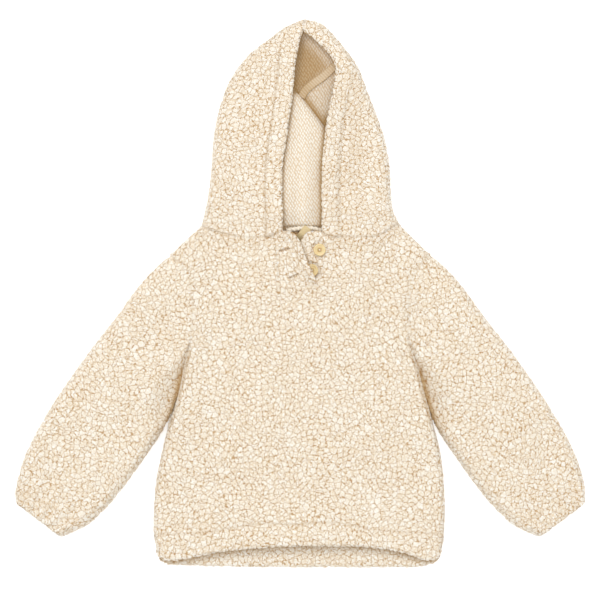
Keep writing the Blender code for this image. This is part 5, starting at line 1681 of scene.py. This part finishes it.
def build_placket(plan, columns):
    """The slash's two placket pieces; plan is the front's above the slash's end."""
    first, last = columns
    floor_line = plan[0, first:last + 1]
    flap_x, under_x = FLAP_EDGE[0][0], UNDER_EDGE[0][0]
    cut = [(x, float(np.interp(x, floor_line[:, 0], floor_line[:, 1]))) for x in (flap_x, under_x)]
    edge = curve((cut[0], *FLAP_EDGE[1:]))
    hidden = curve((cut[1], *UNDER_EDGE[1:]))
    build_flap(np.concatenate((floor_line[floor_line[:, 0] < flap_x], [cut[0]])),
               plan[:, first], edge)
    build_under_piece(np.concatenate(([cut[1]], floor_line[floor_line[:, 0] > under_x])), hidden,
                      plan[:, last], edge)


def button_shade(points, x, y):
    """Painted shade at a button's rim and round its holes."""
    away = from_point(points, x, y)
    holes = bell(away - BUTTON_HOLE_SPREAD, 1.1)
    return np.maximum(0.8 * holes, smooth((away - 0.93 * BUTTON_RADIUS) / 0.4))


def build_button(name, x, y):
    """Dished button with a rounded rim and four holes sewn through with thread."""
    low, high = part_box(name)
    base = low[2] / MM
    rise = (high[2] - low[2]) / MM
    fine = spline(np.array(BUTTON_PROFILE) * (BUTTON_RADIUS, rise), np.linspace(0, 1, 60))
    bm = bmesh.new()
    angle = np.linspace(0, 2 * math.pi, BUTTON_SEGMENTS, endpoint=False)
    rings = []
    for r, z in fine[1:-1]:
        rings.append([bm.verts.new(((x + r * c) * MM, (y + r * s) * MM, (base + max(z, 0.0)) * MM))
                      for c, s in zip(np.cos(angle), np.sin(angle))])
    for inner, outer in zip(rings[:-1], rings[1:]):
        for k in range(BUTTON_SEGMENTS):
            j = (k + 1) % BUTTON_SEGMENTS
            bm.faces.new((inner[k], outer[k], outer[j], inner[j]))
    bm.faces.new(rings[0])
    bm.faces.new(rings[-1][::-1])
    mesh = bpy.data.meshes.new(name + "_turned")
    bm.to_mesh(mesh)
    bm.free()
    obj = add_piece(name + "_turned", mesh, "button", BUTTON, name)
    turns = [math.radians(45 + 90 * k) for k in range(4)]
    holes = [np.array((x + math.cos(turn) * BUTTON_HOLE_SPREAD,
                       y + math.sin(turn) * BUTTON_HOLE_SPREAD)) for turn in turns]
    for hole in holes:
        bpy.ops.mesh.primitive_cylinder_add(vertices=24, radius=BUTTON_HOLE_RADIUS * MM,
                                            depth=8 * MM)
        cutter = bpy.context.object
        cutter.location = (*(hole * MM), base * MM)
        bore = obj.modifiers.new("hole", "BOOLEAN")
        bore.object = cutter
        with_cut = bpy.context.evaluated_depsgraph_get()
        cut_mesh = bpy.data.meshes.new_from_object(obj.evaluated_get(with_cut))
        obj.modifiers.clear()
        obj.data = cut_mesh
        bpy.data.objects.remove(cutter)
    obj.data.shade_smooth()
    obj.data.set_sharp_from_angle(angle=math.radians(BUTTON_SHARP_ANGLE))
    shade_knit(obj.data, lambda points: button_shade(points, x, y))
    dish = base + 0.6 * rise
    shares = np.linspace(0, 1, 24)
    arch = np.minimum(1.0, 3.2 * np.sin(shares * math.pi)) ** 0.6
    for k in range(2):
        plan = holes[k] + np.outer(shares, holes[k + 2] - holes[k])
        lift = dish - 1.1 + (1.45 + 0.28 * k) * arch
        thread = tube(name + f"_thread_{k}", stack(plan, lift), lambda run, turn:
                      0.46 + 0.05 * np.cos(2 * turn + 9 * run), 12)
        add_piece(name + f"_thread_{k}", thread, "knit", TAPE_KNIT, name)
        # Painted shade and glow on the threads, away from the button's middle.
        shade_knit(thread, lambda points: THREAD_SHADE * smooth(
            (from_point(points, x, y) - 0.7) / 0.6))


# ---------------------------------------------------------------- materials
def new_material(name):
    material = bpy.data.materials.new(name)
    material.use_nodes = True
    material.cycles.emission_sampling = "NONE"
    tree = material.node_tree
    return material, Web(tree), tree.nodes["Principled BSDF"]


def rest_in_mm(web):
    """Where a point of the pile lay before the curls moved it."""
    return web.node("ShaderNodeAttribute", {}, 1, attribute_name="rest")


def place_in_mm(web):
    at = web.node("ShaderNodeTexCoord", {}, 3)
    return web.node("ShaderNodeVectorMath", {0: at, 1: (1000.0,) * 3}, operation="MULTIPLY")


def stored_shade(web):
    return web.node("ShaderNodeAttribute", {}, 2, attribute_name="shade")


def fleece_material():
    """Cream curls, with painted shade in the gaps between them and in their swirl lines, and
    painted highlights on their tips.
    """
    material, web, shader = new_material("sherpa_fleece")
    at = rest_in_mm(web)
    _, gap, fine, swirl, own = curls(web, at)
    shade = stored_shade(web)
    patchy = web.ramp(web.noise(at, 0.035, 3.0), 0.3, 0.7)
    colour = web.colour(patchy, LIGHT_CURL, mix_colour(LIGHT_CURL, WARM_CURL, 0.3))
    colour = web.colour(web.math("MULTIPLY", own, 0.15), colour, WARM_CURL)
    # Painted shade along the swirl lines and in the fine gaps and gaps; painted highlights on the
    # tips.
    colour = web.colour(web.math("MULTIPLY", web.ramp(swirl, 0.0, 1.0), 0.42), colour, FINE_GAP_SHADE)
    tip_highlights = web.ramp(web.noise(at, 0.55, 1.0), 0.4, 0.6)
    tip_highlights = web.math("MULTIPLY", web.ramp(swirl, -0.2, -1.0), tip_highlights)
    colour = web.colour(tip_highlights, colour, TIP_HIGHLIGHT)
    colour = web.colour(web.math("MULTIPLY", fine, 0.7), colour, FINE_GAP_SHADE)
    colour = web.colour(gap, colour, GAP_SHADE)
    # Painted shade: the stored shade multiplies the colour, and the same shade adds a painted glow.
    deep = web.math("MULTIPLY", shade, 0.55, clamp=True)
    colour = web.colour(deep, colour, FLEECE_DEEP, "MULTIPLY")
    fibres = web.weighted(swirl, -0.12, web.noise(at, 1.9, 3.0), 0.3)
    web.fill(shader, Base_Color=colour, Roughness=0.95, Specular_IOR_Level=0.15,
             Sheen_Weight=0.25, Sheen_Roughness=0.5, Emission_Color=PAINTED_GLOW,
             Emission_Strength=web.math("MULTIPLY", shade, FLEECE_GLOW),
             Normal=web.bump(fibres, 0.6, 0.5))
    return material


def knit_material(name, light, dark, column, row, tilt, depth):
    """Fine knit of raised stitches in staggered rows, darker between them."""
    material, web, shader = new_material(name)
    at = place_in_mm(web)
    bent = web.add_scaled(web.noise(at, 0.09, 2.0, output=1), 3.0, at)
    parts = web.node("ShaderNodeSeparateXYZ", {0: bent}).node
    x, y = parts.outputs[0], parts.outputs[1]
    turn = math.radians(tilt)
    along_row = web.weighted(x, math.cos(turn) / column, y, math.sin(turn) / column)
    up_column = web.weighted(x, -math.sin(turn) / row, y, math.cos(turn) / row)
    sheared = web.math("ADD", along_row, web.math("MULTIPLY", up_column, 0.5))
    cell = web.node("ShaderNodeCombineXYZ", {0: sheared, 1: up_column, 2: 0.0})
    inputs = {"Vector": cell, "Scale": 1.0, "Randomness": 0.3}
    middle = web.node("ShaderNodeTexVoronoi", inputs, "Position", voronoi_dimensions="2D")
    away = web.node("ShaderNodeVectorMath", {0: cell, 1: middle}, operation="SUBTRACT")
    away = web.node("ShaderNodeVectorMath", {0: away, 1: (0.9, 1.1, 0.0)}, operation="MULTIPLY")
    away = web.node("ShaderNodeVectorMath", {0: away}, "Value", operation="LENGTH")
    raised = web.ramp(away, 0.55, 0.2)
    patchy = web.ramp(web.noise(at, 0.05, 3.0), 0.3, 0.7)
    colour = web.colour(patchy, light, mix_colour(light, dark, 0.15))
    colour = web.colour(raised, dark, colour)
    # Painted shade: the stored shade multiplies the colour, and the same shade adds a painted glow.
    shade = stored_shade(web)
    colour = web.colour(shade, colour, DEEP, "MULTIPLY")
    fibres = web.math("MULTIPLY", web.noise(at, 2.4, 3.0), 0.4)
    web.fill(shader, Base_Color=colour, Roughness=0.92, Specular_IOR_Level=0.15,
             Sheen_Weight=0.2, Emission_Color=PAINTED_GLOW,
             Emission_Strength=web.math("MULTIPLY", shade, KNIT_GLOW),
             Normal=web.bump(web.math("ADD", raised, fibres), depth, 0.9))
    return material


def mix_colour(a, b, share):
    return tuple(p + (q - p) * share for p, q in zip(a, b))


def ribbon_material():
    """Plain gold ribbon, woven across."""
    material, web, shader = new_material("gold_ribbon")
    at = place_in_mm(web)
    parts = web.node("ShaderNodeSeparateXYZ", {0: at}).node
    run = web.weighted(parts.outputs[0], 0.63, parts.outputs[1], 0.78)
    threads = web.ramp(web.math("SINE", web.math("MULTIPLY", run, 9.0)), -1.0, 1.0)
    woven = web.math("ADD", threads, web.noise(at, 3.0, 2.0))
    web.fill(shader, Base_Color=web.colour(threads, RIBBON_DARK, RIBBON_LIGHT), Roughness=0.55,
             Anisotropic=0.4, Normal=web.bump(woven, 0.12, 0.7))
    return material


def button_material():
    """Pale yellow plastic, mottled a little."""
    material, web, shader = new_material("pale_button")
    at = place_in_mm(web)
    cloud = web.ramp(web.noise(at, 0.28, 4.0), 0.25, 0.75)
    colour = web.colour(cloud, BUTTON_DARK, BUTTON_LIGHT)
    # Painted shade at the rim and round the holes.
    colour = web.colour(stored_shade(web), colour, BUTTON_DEEP, "MULTIPLY")
    web.fill(shader, Base_Color=colour, Roughness=0.34, Coat_Weight=0.15, Subsurface_Weight=0.1,
             Subsurface_Scale=0.002, Normal=web.bump(web.noise(at, 0.9, 3.0), 0.05, 0.4))
    return material


# -------------------------------------------------------------------- build
CURL_TREE = curl_tree()
FLEECE = fleece_material()
KNIT = knit_material("knit_backing", KNIT_LIGHT, KNIT_DARK, KNIT_COLUMN, KNIT_ROW, KNIT_TILT,
                     KNIT_DEPTH)
TAPE_KNIT = knit_material("tape_and_thread", THREAD_LIGHT, THREAD_DARK, THREAD_COLUMN, THREAD_ROW,
                          THREAD_TILT, THREAD_DEPTH)
RIBBON = ribbon_material()
BUTTON = button_material()
FRONT_LINES = front_lines()

placket_plan, slash_columns = build_front()
build_back()
build_front_cloth()
build_back_cloth()
build_sleeve("sleeve_right", -1)
build_sleeve("sleeve_left", 1)
build_hood_half("hood_right", HOOD_RIGHT, NECK_RIGHT, -1)
build_hood_half("hood_left", HOOD_LEFT, NECK_LEFT, 1)
build_hood_fold()
build_neck_inside()
build_placket(placket_plan, slash_columns)
for button_name, button_x, button_y in BUTTONS:
    build_button(button_name, button_x, button_y)
